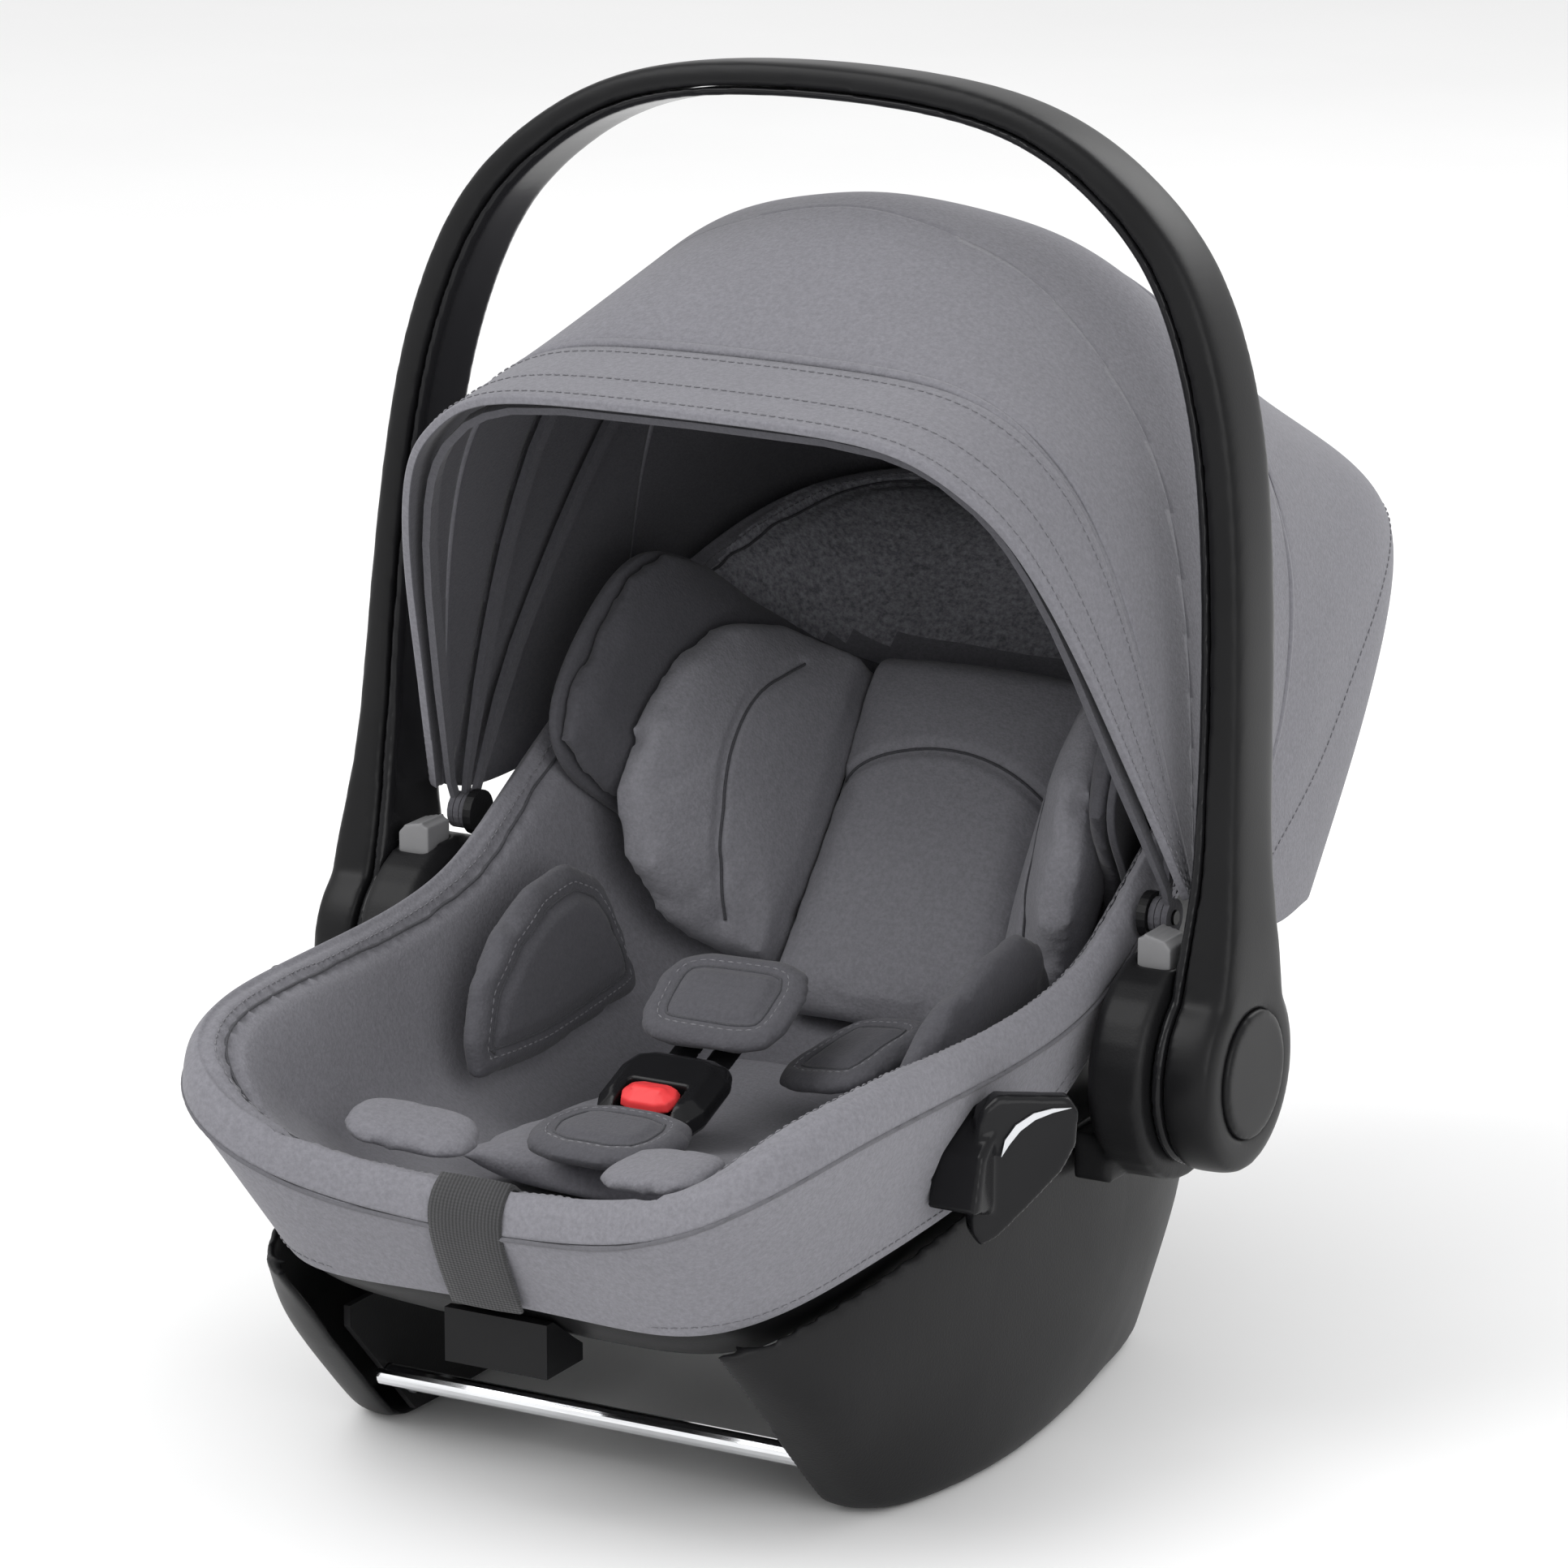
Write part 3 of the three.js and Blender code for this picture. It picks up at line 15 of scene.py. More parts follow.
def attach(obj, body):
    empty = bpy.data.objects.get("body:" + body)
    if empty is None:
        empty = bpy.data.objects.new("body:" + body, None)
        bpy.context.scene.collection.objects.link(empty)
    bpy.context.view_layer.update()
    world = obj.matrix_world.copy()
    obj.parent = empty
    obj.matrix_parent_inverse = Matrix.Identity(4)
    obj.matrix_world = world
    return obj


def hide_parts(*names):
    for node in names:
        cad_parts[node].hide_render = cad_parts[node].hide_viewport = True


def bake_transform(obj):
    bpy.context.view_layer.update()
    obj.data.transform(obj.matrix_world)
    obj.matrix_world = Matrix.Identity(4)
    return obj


bl_info = {
    "name": "Infant Car Seat",
    "version": (1, 0, 0),
    "blender": (4, 5, 0),
    "location": "View3D > Sidebar > Infant Seat",
    "description": "Builds the upholstery, plastics and stage of a rear-facing infant car seat",
    "category": "Object",
}

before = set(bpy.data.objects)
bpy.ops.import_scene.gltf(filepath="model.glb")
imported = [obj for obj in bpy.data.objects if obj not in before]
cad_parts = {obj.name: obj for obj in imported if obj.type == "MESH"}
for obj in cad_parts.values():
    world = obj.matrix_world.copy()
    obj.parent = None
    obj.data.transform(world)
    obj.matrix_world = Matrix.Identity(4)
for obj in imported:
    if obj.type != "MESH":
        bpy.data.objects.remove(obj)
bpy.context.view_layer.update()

MM = 0.001
HINGE = Vector((0.0, -0.036, 0.161))
HOOD_PIVOT = Vector((0.0, -0.0235, 0.219))
BACK_TILT = math.radians(52)
BACK_FOOT = Vector((0.0, 0.0365, 0.142))
AIM = Vector((0.10606, -0.2325, 0.3169))
LAMP_AIM = Vector((0, 0, 0.25))
THREAD_LIFT = 0.0003
HOOD_MIDDLE = Vector((0, HOOD_PIVOT.y + 0.03, HOOD_PIVOT.z + 0.03))


# ------------------------------------------------------------------ settings


class FabricSettings(PropertyGroup):
    knit_pitch: FloatProperty(
        name="Knit pitch", description="Width of one stitch of the knitted fabric",
        default=0.0013, min=0.0004, max=0.005, subtype="DISTANCE", unit="LENGTH")
    seam_width: FloatProperty(
        name="Seam width", description="Half width of the valley at a sewn seam",
        default=0.0055, min=0.001, max=0.02, subtype="DISTANCE", unit="LENGTH")
    seam_depth: FloatProperty(
        name="Seam depth", description="Depth of the valley at a sewn seam",
        default=0.0018, min=0.0, max=0.006, subtype="DISTANCE", unit="LENGTH")
    stitch_length: FloatProperty(
        name="Stitch length", description="Length of one top stitch",
        default=0.0028, min=0.001, max=0.01, subtype="DISTANCE", unit="LENGTH")
    outer_colour: FloatVectorProperty(
        name="Outer fabric", description="Colour of the grey outer knit",
        default=(0.190, 0.188, 0.208), size=3, min=0, max=1, subtype="COLOR")
    lining_colour: FloatVectorProperty(
        name="Lining", description="Colour of the dark inner lining",
        default=(0.088, 0.087, 0.098), size=3, min=0, max=1, subtype="COLOR")
    # Painted light: the newborn insert is the same knit as the outer fabric, and this colour is
    # set lighter than the outer grey to stand in for the light that falls on it.
    insert_painted_light_colour: FloatVectorProperty(
        name="Insert", description="Colour of the newborn insert",
        default=(0.235, 0.233, 0.256), size=3, min=0, max=1, subtype="COLOR")
    heather_colour: FloatVectorProperty(
        name="Heather panel", description="Colour of the coarse panel behind the headrest",
        default=(0.30, 0.30, 0.33), size=3, min=0, max=1, subtype="COLOR")
    webbing_colour: FloatVectorProperty(
        name="Webbing", description="Colour of the ribbed webbing",
        default=(0.030, 0.030, 0.032), size=3, min=0, max=1, subtype="COLOR")


class PaddingSettings(PropertyGroup):
    voxel: FloatProperty(
        name="Cloth cell", description="Cell size of the cloth before it is inflated",
        default=0.005, min=0.003, max=0.01, subtype="DISTANCE", unit="LENGTH")
    pressure: FloatProperty(
        name="Filling pressure", description="Pressure of the filling while the cloth settles",
        default=4.0, min=0.0, max=20.0)
    frames: IntProperty(
        name="Settling frames", description="Number of frames the cloth settles for",
        default=16, min=1, max=40)


class PlasticSettings(PropertyGroup):
    shell_colour: FloatVectorProperty(
        name="Shell", description="Colour of the grained shell and feet",
        default=(0.0095, 0.0095, 0.0102), size=3, min=0, max=1, subtype="COLOR")
    handle_colour: FloatVectorProperty(
        name="Handle", description="Colour of the satin handle",
        default=(0.0070, 0.0070, 0.0076), size=3, min=0, max=1, subtype="COLOR")
    button_colour: FloatVectorProperty(
        name="Release button", description="Colour of the ribbed release buttons",
        default=(0.20, 0.20, 0.205), size=3, min=0, max=1, subtype="COLOR")
    press_colour: FloatVectorProperty(
        name="Buckle button", description="Colour of the harness buckle's push button",
        default=(0.80, 0.055, 0.06), size=3, min=0, max=1, subtype="COLOR")


class StageSettings(PropertyGroup):
    lens: FloatProperty(
        name="Lens", description="Focal length of the camera", default=164.26, min=20, max=300)
    distance: FloatProperty(
        name="Camera distance", description="Distance from the camera to the object",
        default=2.8, min=1, max=10, subtype="DISTANCE", unit="LENGTH")
    azimuth: FloatProperty(
        name="Azimuth", description="Camera's turn round the object",
        default=math.radians(29.18), subtype="ANGLE", unit="ROTATION")
    elevation: FloatProperty(
        name="Elevation", description="Camera's height angle",
        default=math.radians(15.2), subtype="ANGLE", unit="ROTATION")


SETTINGS = {
    "seat_fabric": FabricSettings,
    "seat_padding": PaddingSettings,
    "seat_plastic": PlasticSettings,
    "seat_stage": StageSettings,
}


def fabric():
    return bpy.context.scene.seat_fabric


# ------------------------------------------------------------------ materials


def wire(tree, kind, inputs=(), **settings):
    """A shader node with its sockets set or linked and its properties set."""
    node = tree.nodes.new(kind)
    for key, value in settings.items():
        setattr(node, key, value)
    for key, value in dict(inputs).items():
        if isinstance(value, bpy.types.NodeSocket):
            tree.links.new(value, node.inputs[key])
        else:
            node.inputs[key].default_value = value
    return node


def new_material(name, roughness=0.5, metallic=0.0, sheen=0.0, specular=0.5):
    material = bpy.data.materials.new(name)
    material.use_nodes = True
    shader = material.node_tree.nodes["Principled BSDF"]
    shader.inputs["Specular IOR Level"].default_value = specular
    shader.inputs["Roughness"].default_value = roughness
    shader.inputs["Metallic"].default_value = metallic
    if sheen:
        shader.inputs["Sheen Weight"].default_value = sheen
        shader.inputs["Sheen Roughness"].default_value = 0.5
    place = wire(material.node_tree, "ShaderNodeTexCoord").outputs["Object"]
    return material, material.node_tree, shader, place


def tinted(colour, factor):
    return (*[min(1.0, c * factor) for c in colour], 1.0)


def two_tone(tree, fac, colour, dark, light):
    ramp = wire(tree, "ShaderNodeValToRGB", {"Fac": fac})
    ramp.color_ramp.elements[0].position = 0.32
    ramp.color_ramp.elements[1].position = 0.68
    ramp.color_ramp.elements[0].color = tinted(colour, dark)
    ramp.color_ramp.elements[1].color = tinted(colour, light)
    return ramp.outputs["Color"]


def knit_material(name, colour, contrast=0.16, pitch=None, sheen=0.12):
    """Fine knitted fabric: mixed yarns, loops with depth and a slow change of tone."""
    pitch = pitch or fabric().knit_pitch
    material, tree, shader, place = new_material(name, 0.92, sheen=sheen, specular=0.2)
    yarn = wire(tree, "ShaderNodeTexNoise",
                {"Vector": place, "Scale": 0.62 / pitch, "Detail": 3.0, "Roughness": 0.7})
    worn = wire(tree, "ShaderNodeTexNoise", {"Vector": place, "Scale": 9.0, "Detail": 2.0})
    tone = two_tone(tree, yarn.outputs["Fac"], colour, 1 - contrast, 1 + contrast)
    slow = two_tone(tree, worn.outputs["Fac"], (1, 1, 1), 0.93, 1.0)
    mixed = wire(tree, "ShaderNodeMix", data_type="RGBA", blend_type="MULTIPLY")
    mixed.inputs["Factor"].default_value = 1.0
    tree.links.new(tone, mixed.inputs[6])
    tree.links.new(slow, mixed.inputs[7])
    tree.links.new(mixed.outputs[2], shader.inputs["Base Color"])
    loops = wire(tree, "ShaderNodeTexVoronoi", {"Vector": place, "Scale": 1.0 / pitch})
    bump = wire(tree, "ShaderNodeBump",
                {"Height": loops.outputs["Distance"], "Strength": 0.35, "Distance": pitch * 0.35})
    soft = wire(tree, "ShaderNodeTexNoise", {"Vector": place, "Scale": 70.0, "Detail": 3.0})
    creased = wire(tree, "ShaderNodeBump",
                   {"Height": soft.outputs["Fac"], "Strength": 0.12, "Distance": 0.002,
                    "Normal": bump.outputs["Normal"]})
    tree.links.new(creased.outputs["Normal"], shader.inputs["Normal"])
    return material


def plastic_material(name, colour, roughness, grain=0.0009, depth=0.25):
    """Moulded plastic: fine grain, a slightly uneven polish and faint handling marks."""
    material, tree, shader, place = new_material(name, roughness, specular=0.17)
    grains = wire(tree, "ShaderNodeTexNoise",
                  {"Vector": place, "Scale": 1.0 / grain, "Detail": 2.0})
    bump = wire(tree, "ShaderNodeBump",
                {"Height": grains.outputs["Fac"], "Strength": depth, "Distance": 0.00025})
    tree.links.new(bump.outputs["Normal"], shader.inputs["Normal"])
    polish = wire(tree, "ShaderNodeTexNoise", {"Vector": place, "Scale": 22.0, "Detail": 5.0})
    spread = wire(tree, "ShaderNodeMapRange", {"Value": polish.outputs["Fac"]})
    spread.inputs["To Min"].default_value = max(0.03, roughness - 0.07)
    spread.inputs["To Max"].default_value = roughness + 0.09
    tree.links.new(spread.outputs["Result"], shader.inputs["Roughness"])
    tone = two_tone(tree, polish.outputs["Fac"], colour, 0.88, 1.12)
    tree.links.new(tone, shader.inputs["Base Color"])
    return material


def metal_material(name, colour, roughness):
    """Drawn metal: fine lines along X and slight tarnish."""
    material, tree, shader, place = new_material(name, roughness=roughness, metallic=1.0)
    stretched = wire(tree, "ShaderNodeMapping", {"Vector": place, "Scale": (12.0, 900.0, 900.0)})
    lines = wire(tree, "ShaderNodeTexNoise", {"Vector": stretched.outputs["Vector"], "Scale": 1.0})
    bump = wire(tree, "ShaderNodeBump",
                {"Height": lines.outputs["Fac"], "Strength": 0.06, "Distance": 0.0002})
    tree.links.new(bump.outputs["Normal"], shader.inputs["Normal"])
    tarnish = wire(tree, "ShaderNodeTexNoise", {"Vector": place, "Scale": 40.0, "Detail": 4.0})
    spread = wire(tree, "ShaderNodeMapRange", {"Value": tarnish.outputs["Fac"]})
    spread.inputs["To Min"].default_value = roughness
    spread.inputs["To Max"].default_value = roughness + 0.1
    tree.links.new(spread.outputs["Result"], shader.inputs["Roughness"])
    tree.links.new(two_tone(tree, tarnish.outputs["Fac"], colour, 0.94, 1.04),
                   shader.inputs["Base Color"])
    return material


def webbing_material(name, colour, across=(1, 0, 0)):
    """Ribbed webbing: ribs run the length of the strap, crossed by fine picks."""
    material, tree, shader, place = new_material(name, roughness=0.8, sheen=0.1)
    ribs = wire(tree, "ShaderNodeTexWave", {"Vector": place, "Scale": 190.0, "Distortion": 0.6},
                bands_direction="X" if across[0] else "Y")
    picks = wire(tree, "ShaderNodeTexWave", {"Vector": place, "Scale": 260.0, "Distortion": 1.2},
                 bands_direction="Z")
    bump = wire(tree, "ShaderNodeBump",
                {"Height": ribs.outputs["Fac"], "Strength": 0.4, "Distance": 0.0004})
    fine = wire(tree, "ShaderNodeBump",
                {"Height": picks.outputs["Fac"], "Strength": 0.5, "Distance": 0.0004,
                 "Normal": bump.outputs["Normal"]})
    tree.links.new(fine.outputs["Normal"], shader.inputs["Normal"])
    tree.links.new(two_tone(tree, ribs.outputs["Fac"], colour, 0.6, 1.35),
                   shader.inputs["Base Color"])
    return material


def foam_material(name):
    material, tree, shader, place = new_material(name, roughness=0.95)
    beads = wire(tree, "ShaderNodeTexVoronoi", {"Vector": place, "Scale": 260.0})
    bump = wire(tree, "ShaderNodeBump",
                {"Height": beads.outputs["Distance"], "Strength": 0.6, "Distance": 0.001})
    tree.links.new(bump.outputs["Normal"], shader.inputs["Normal"])
    tree.links.new(two_tone(tree, beads.outputs["Distance"], (0.8, 0.8, 0.78), 1.0, 0.9),
                   shader.inputs["Base Color"])
    return material


def make_materials():
    settings, plastic = fabric(), bpy.context.scene.seat_plastic
    return {
        "outer": knit_material("outer_knit", settings.outer_colour, 0.12),
        "lining": knit_material("lining_knit", settings.lining_colour, 0.10),
        # The insert knit is a lighter copy of the outer knit, which makes it painted light on the
        # insert's back pad and pillows.
        "insert": knit_material("insert_knit", settings.insert_painted_light_colour, 0.12),
        "heather": knit_material("heather_panel", settings.heather_colour, 0.42, 0.0016),
        "piping": knit_material("piping_fabric", tuple(0.62 * c for c in settings.outer_colour),
                                0.1, 0.0009),
        "thread": knit_material("seam_thread", (0.07, 0.07, 0.078), 0.2, 0.0006),
        "top_stitch": knit_material("top_stitch_thread", (0.19, 0.188, 0.205), 0.2, 0.0006),
        "webbing": webbing_material("webbing", settings.webbing_colour),
        "shell": plastic_material("shell_plastic", plastic.shell_colour, 0.42, 0.0011, 0.3),
        "handle": plastic_material("handle_plastic", plastic.handle_colour, 0.36, 0.0008, 0.12),
        "gloss": plastic_material("gloss_plastic", (0.010, 0.010, 0.011), 0.17, 0.0012, 0.03),
        "grey": plastic_material("button_plastic", plastic.button_colour, 0.45, 0.0009, 0.2),
        "red": plastic_material("press_plastic", plastic.press_colour, 0.3, 0.0012, 0.05),
        "silver": metal_material("silver_trim", (0.62, 0.63, 0.65), 0.28),
        "chrome": metal_material("polished_rod", (0.86, 0.87, 0.89), 0.07),
        "steel": metal_material("plain_steel", (0.42, 0.43, 0.45), 0.3),
        "foam": foam_material("expanded_foam"),
    }


def finish(name):
    """A finish of the seat, made with the others on first use."""
    known = {m.get("finish_key"): m for m in bpy.data.materials if m.get("finish_key")}
    if not known:
        for key, material in make_materials().items():
            material["finish_key"] = key
            known[key] = material
    return known[name]


# ------------------------------------------------------------------ mesh tools


def points_of(obj):
    flat = np.empty(len(obj.data.vertices) * 3)
    obj.data.vertices.foreach_get("co", flat)
    return flat.reshape(-1, 3)


def set_points(obj, points):
    obj.data.vertices.foreach_set("co", np.asarray(points, float).ravel())
    obj.data.update()


def normals_of(obj):
    return np.array([v.normal for v in obj.data.vertices], float)


def keep_mesh(obj):
    """Applies every modifier on the object."""
    graph = bpy.context.evaluated_depsgraph_get()
    mesh = bpy.data.meshes.new_from_object(obj.evaluated_get(graph), depsgraph=graph)
    before = obj.data
    obj.modifiers.clear()
    obj.data = mesh
    bpy.data.meshes.remove(before)
    mesh.name = obj.name
    return obj


def shade_smooth(obj):
    obj.data.polygons.foreach_set("use_smooth", [True] * len(obj.data.polygons))


def new_object(name, mesh, *materials):
    obj = bpy.data.objects.new(name, mesh)
    bpy.context.scene.collection.objects.link(obj)
    mesh.materials.clear()
    for material in materials:
        mesh.materials.append(finish(material))
    shade_smooth(obj)
    return obj


def traced(node, name, *materials, quads=True, edge_hold=0.85, sharp=58):
    """A fresh welded copy of a frame node's surface, as quads where its faces pair up."""
    bm = bmesh.new()
    bm.from_mesh(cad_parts[node].data)
    bmesh.ops.remove_doubles(bm, verts=bm.verts, dist=2e-5)
    if quads:
        bmesh.ops.join_triangles(
            bm, faces=bm.faces, angle_face_threshold=math.radians(50),
            angle_shape_threshold=math.radians(100))
    bmesh.ops.recalc_face_normals(bm, faces=bm.faces)
    crease = bm.edges.layers.float.new("crease_edge")
    for edge in bm.edges:
        if edge.is_manifold and edge.calc_face_angle(0) > math.radians(sharp):
            edge[crease] = edge_hold
    mesh = bpy.data.meshes.new(name)
    bm.to_mesh(mesh)
    bm.free()
    return new_object(name, mesh, *materials)


def subdivided(obj, levels):
    modifier = obj.modifiers.new("round", "SUBSURF")
    modifier.levels = levels
    modifier.render_levels = levels
    return keep_mesh(obj)


def moulded(node, name, material, voxel=0.0025, rounds=6, swept=False):
    """A moulded copy of a hard node, with its edges rounded as a tool leaves them."""
    obj = traced(node, name, material, quads=swept, edge_hold=0.9, sharp=38)
    if swept:
        subdivided(obj, 2)
    remesh = obj.modifiers.new("cells", "REMESH")
    remesh.mode = "VOXEL"
    remesh.voxel_size = voxel
    ease = obj.modifiers.new("ease", "SMOOTH")
    ease.factor = 0.5
    ease.iterations = rounds
    keep_mesh(obj)
    shade_smooth(obj)
    return obj


def surface_of(obj):
    return BVHTree.FromPolygons(
        [v.co for v in obj.data.vertices], [p.vertices for p in obj.data.polygons])


def flowing(points, count):
    """Evenly spread points on a smooth curve through the given ones."""
    p = np.asarray(points, float)
    ends = np.vstack([2 * p[0] - p[1], p, 2 * p[-1] - p[-2]])
    fine = []
    for i in range(1, len(ends) - 2):
        a, b, c, d = ends[i - 1:i + 3]
        for t in np.linspace(0, 1, 24, endpoint=False):
            fine.append(0.5 * ((2 * b) + (c - a) * t + (2 * a - 5 * b + 4 * c - d) * t * t
                               + (3 * b - a - 3 * c + d) * t ** 3))
    fine.append(p[-1])
    fine = np.array(fine)
    run = np.concatenate([[0], np.cumsum(np.linalg.norm(np.diff(fine, axis=0), axis=1))])
    wanted = np.linspace(0, run[-1], count)
    return np.stack([np.interp(wanted, run, fine[:, k]) for k in range(3)], axis=1)


def laid_on(surface, points, count, lift=0.0):
    """A smooth path laid on a surface, with the surface's normal at each point."""
    spots, facings = [], []
    for p in flowing(points, count):
        spot, facing, _, _ = surface.find_nearest(Vector(p))
        spots.append(np.array(spot) + np.array(facing) * lift)
        facings.append(np.array(facing))
    spots, facings = np.array(spots), np.array(facings)
    for _ in range(3):
        spots[1:-1] = 0.25 * spots[:-2] + 0.5 * spots[1:-1] + 0.25 * spots[2:]
    return spots, facings


def sewn(obj, paths, width=None, depth=None):
    """Draws the surface in along each path, as a seam does."""
    width = width or fabric().seam_width
    depth = depth or fabric().seam_depth
    surface = surface_of(obj)
    spots = np.vstack([laid_on(surface, path, 160)[0] for path in paths])
    tree = KDTree(len(spots))
    for i, spot in enumerate(spots):
        tree.insert(spot, i)
    tree.balance()
    points, facings = points_of(obj), normals_of(obj)
    for i, p in enumerate(points):
        distance = tree.find(Vector(p))[2]
        if distance < width:
            points[i] -= facings[i] * depth * (1 - (distance / width) ** 2) ** 2
    set_points(obj, points)
    return obj


def tube_along(name, spots, facings, radius, material, flat=1.0, sides=8, closed=False):
    """A round or flattened tube along a path, such as piping or a seam's thread."""
    count = len(spots)
    vertices, faces = [], []
    for i in range(count):
        before = spots[i - 1] if closed or i else spots[i]
        after = spots[(i + 1) % count] if closed or i < count - 1 else spots[i]
        run = Vector(after - before).normalized()
        up = Vector(facings[i])
        up = (up - run * up.dot(run)).normalized()
        side = run.cross(up)
        for k in range(sides):
            angle = 2 * math.pi * k / sides
            vertices.append(Vector(spots[i]) + side * radius * math.cos(angle)
                            + up * radius * flat * math.sin(angle))
    for i in range(count if closed else count - 1):
        j = (i + 1) % count
        for k in range(sides):
            m = (k + 1) % sides
            faces.append((i * sides + k, i * sides + m, j * sides + m, j * sides + k))
    if not closed:
        faces.append(tuple(range(sides - 1, -1, -1)))
        faces.append(tuple((count - 1) * sides + k for k in range(sides)))
    mesh = bpy.data.meshes.new(name)
    mesh.from_pydata(vertices, [], faces)
    return new_object(name, mesh, material)


def stitch_row(name, spots, facings, material, radius=0.00042):
    """A row of separate top stitches along a path."""
    run = np.concatenate([[0], np.cumsum(np.linalg.norm(np.diff(spots, axis=0), axis=1))])
    length = fabric().stitch_length
    step = length * 1.5
    vertices, faces = [], []
    for k in range(int(run[-1] / step)):
        ends = []
        for s in (k * step, k * step + length):
            at = np.array([np.interp(s, run, spots[:, c]) for c in range(3)])
            up = np.array([np.interp(s, run, facings[:, c]) for c in range(3)])
            ends.append((at, up / np.linalg.norm(up)))
        (a, up), (b, _) = ends
        along = (b - a) / np.linalg.norm(b - a)
        side = np.cross(along, up)
        base = len(vertices)
        for at, size in ((a, 0.5), (0.5 * (a + b), 1.0), (b, 0.5)):
            for s, u in ((1, 0), (0, 1), (-1, 0), (0, -1)):
                vertices.append(at + (side * s + up * u) * radius * size)
        for ring in range(2):
            for q in range(4):
                m = (q + 1) % 4
                faces.append((base + ring * 4 + q, base + ring * 4 + m,
                              base + ring * 4 + 4 + m, base + ring * 4 + 4 + q))
        faces.append((base + 3, base + 2, base + 1, base))
        faces.append((base + 8, base + 9, base + 10, base + 11))
    mesh = bpy.data.meshes.new(name)
    mesh.from_pydata([Vector(v) for v in vertices], [], faces)
    return new_object(name, mesh, material)


def seam_line(obj, name, path, body, material="thread", radius=0.0007, count=140, closed=False):
    """The thread line at the bottom of a seam, laid on the finished surface."""
    spots, facings = laid_on(surface_of(obj), path, count, lift=radius * 0.45)
    line = tube_along(name, spots, facings, radius, material, flat=0.8, closed=closed)
    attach(line, body)
    return line


def top_stitched(obj, name, path, body, count=220):
    spots, facings = laid_on(surface_of(obj), path, count, lift=THREAD_LIFT)
    row = stitch_row(name, spots, facings, "top_stitch")
    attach(row, body)
    return row


def settled(obj, cap, voxel=None, shrink=0.004):
    """Fills a pad: the cloth starts a little small and is blown up until it settles."""
    padding = bpy.context.scene.seat_padding
    set_points(obj, points_of(obj) - normals_of(obj) * shrink)
    remesh = obj.modifiers.new("cells", "REMESH")
    remesh.mode = "VOXEL"
    remesh.voxel_size = voxel or padding.voxel
    keep_mesh(obj)
    rest = points_of(obj)
    cloth = obj.modifiers.new("cloth", "CLOTH")
    cloth.settings.quality = 4
    cloth.settings.mass = 0.25
    cloth.settings.use_pressure = True
    cloth.settings.uniform_pressure_force = padding.pressure
    cloth.settings.effector_weights.gravity = 0.0
    cloth.collision_settings.use_collision = False
    cloth.point_cache.frame_start = 1
    cloth.point_cache.frame_end = padding.frames
    for step in range(1, padding.frames + 1):
        bpy.context.scene.frame_set(step)
    graph = bpy.context.evaluated_depsgraph_get()
    moved = np.array([v.co for v in obj.evaluated_get(graph).data.vertices], float)
    obj.modifiers.clear()
    bpy.context.scene.frame_set(1)
    move = moved - rest
    size = np.linalg.norm(move, axis=1, keepdims=True)
    move *= np.minimum(1.0, cap / np.maximum(size, 1e-9))
    set_points(obj, rest + move)
    ease = obj.modifiers.new("ease", "SMOOTH")
    ease.factor = 0.5
    ease.iterations = 4
    keep_mesh(obj)
    subdivided(obj, 1)
    shade_smooth(obj)
    return obj


def dressed(obj, body, slot, *nodes):
    """Seats a piece on its body in place of its frame nodes."""
    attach(obj, body)
    if nodes:
        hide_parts(*nodes)
    return obj


def refinished(node, material):
    """Gives a frame node that shows as it is its own finish."""
    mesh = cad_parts[node].data
    mesh.materials.clear()
    mesh.materials.append(finish(material))


def assign_by(obj, chooser):
    """Sets each face's material slot from its middle and its normal."""
    for face in obj.data.polygons:
        face.material_index = chooser(face.center, face.normal)


def back_point(x, up, out):
    """A point on the backrest's own axes: across, up it and out from it."""
    return (x,
            BACK_FOOT.y + up * math.cos(BACK_TILT) - out * math.sin(BACK_TILT),
            BACK_FOOT.z + up * math.sin(BACK_TILT) + out * math.cos(BACK_TILT))


def both_ways(path):
    """A half path from one side to the middle, carried on to the other side."""
    return list(path) + [(-x, y, z) for x, y, z in reversed(path[:-1])]


def seat_path(path):
    """Path points given in millimetres from the hinge line, as points in the frame."""
    return [(x * MM, (y - 36) * MM, z * MM) for x, y, z in path]


SIDES = (("right", 1), ("left", -1))


# ------------------------------------------------------------------ outlines of the seat


CREST = [(0, -257, 151), (60, -262, 156), (103, -270, 169), (127, -264, 184), (140, -246, 194),
         (146, -217, 199), (149, -176, 200), (150, -136, 199.5), (151, -96, 199.5),
         (152, -56, 202), (152.8, -21, 209), (152.8, 10, 225), (152, 54, 252), (150, 113, 284),
         (147, 183, 306), (143, 238, 316), (135, 282, 320), (110, 312, 321), (62, 323, 321),
         (0, 325, 321)]
HEM = [(0, -246, 100), (60, -246, 98), (92, -245, 99), (115, -226, 104), (131, -190, 114),
       (140, -150, 121), (146, -100, 129), (151, -50, 145), (154, -15, 168), (155.5, 15, 188),
       (156, 60, 218), (154, 113, 248), (151, 183, 272), (145, 236, 284), (136, 278, 289),
       (108, 306, 291), (62, 318, 292), (0, 320, 292)]


def drawn_in(path, inset, rise=0.0):
    """A half outline moved in from the edge and up, in millimetres."""
    moved = []
    for i, (x, y, z) in enumerate(path):
        before, after = path[max(i - 1, 0)], path[min(i + 1, len(path) - 1)]
        run = Vector((after[0] - before[0], after[1] - before[1])).normalized()
        moved.append((max(x - run.y * inset, 0) if i else 0, y + run.x * inset, z + rise))
    return moved


def round_seat(path):
    """A half outline from the foot end to the head end, as a closed path in the frame."""
    other = [(-x, y, z) for x, y, z in reversed(path[1:-1])]
    return seat_path(path + other + path[:1])


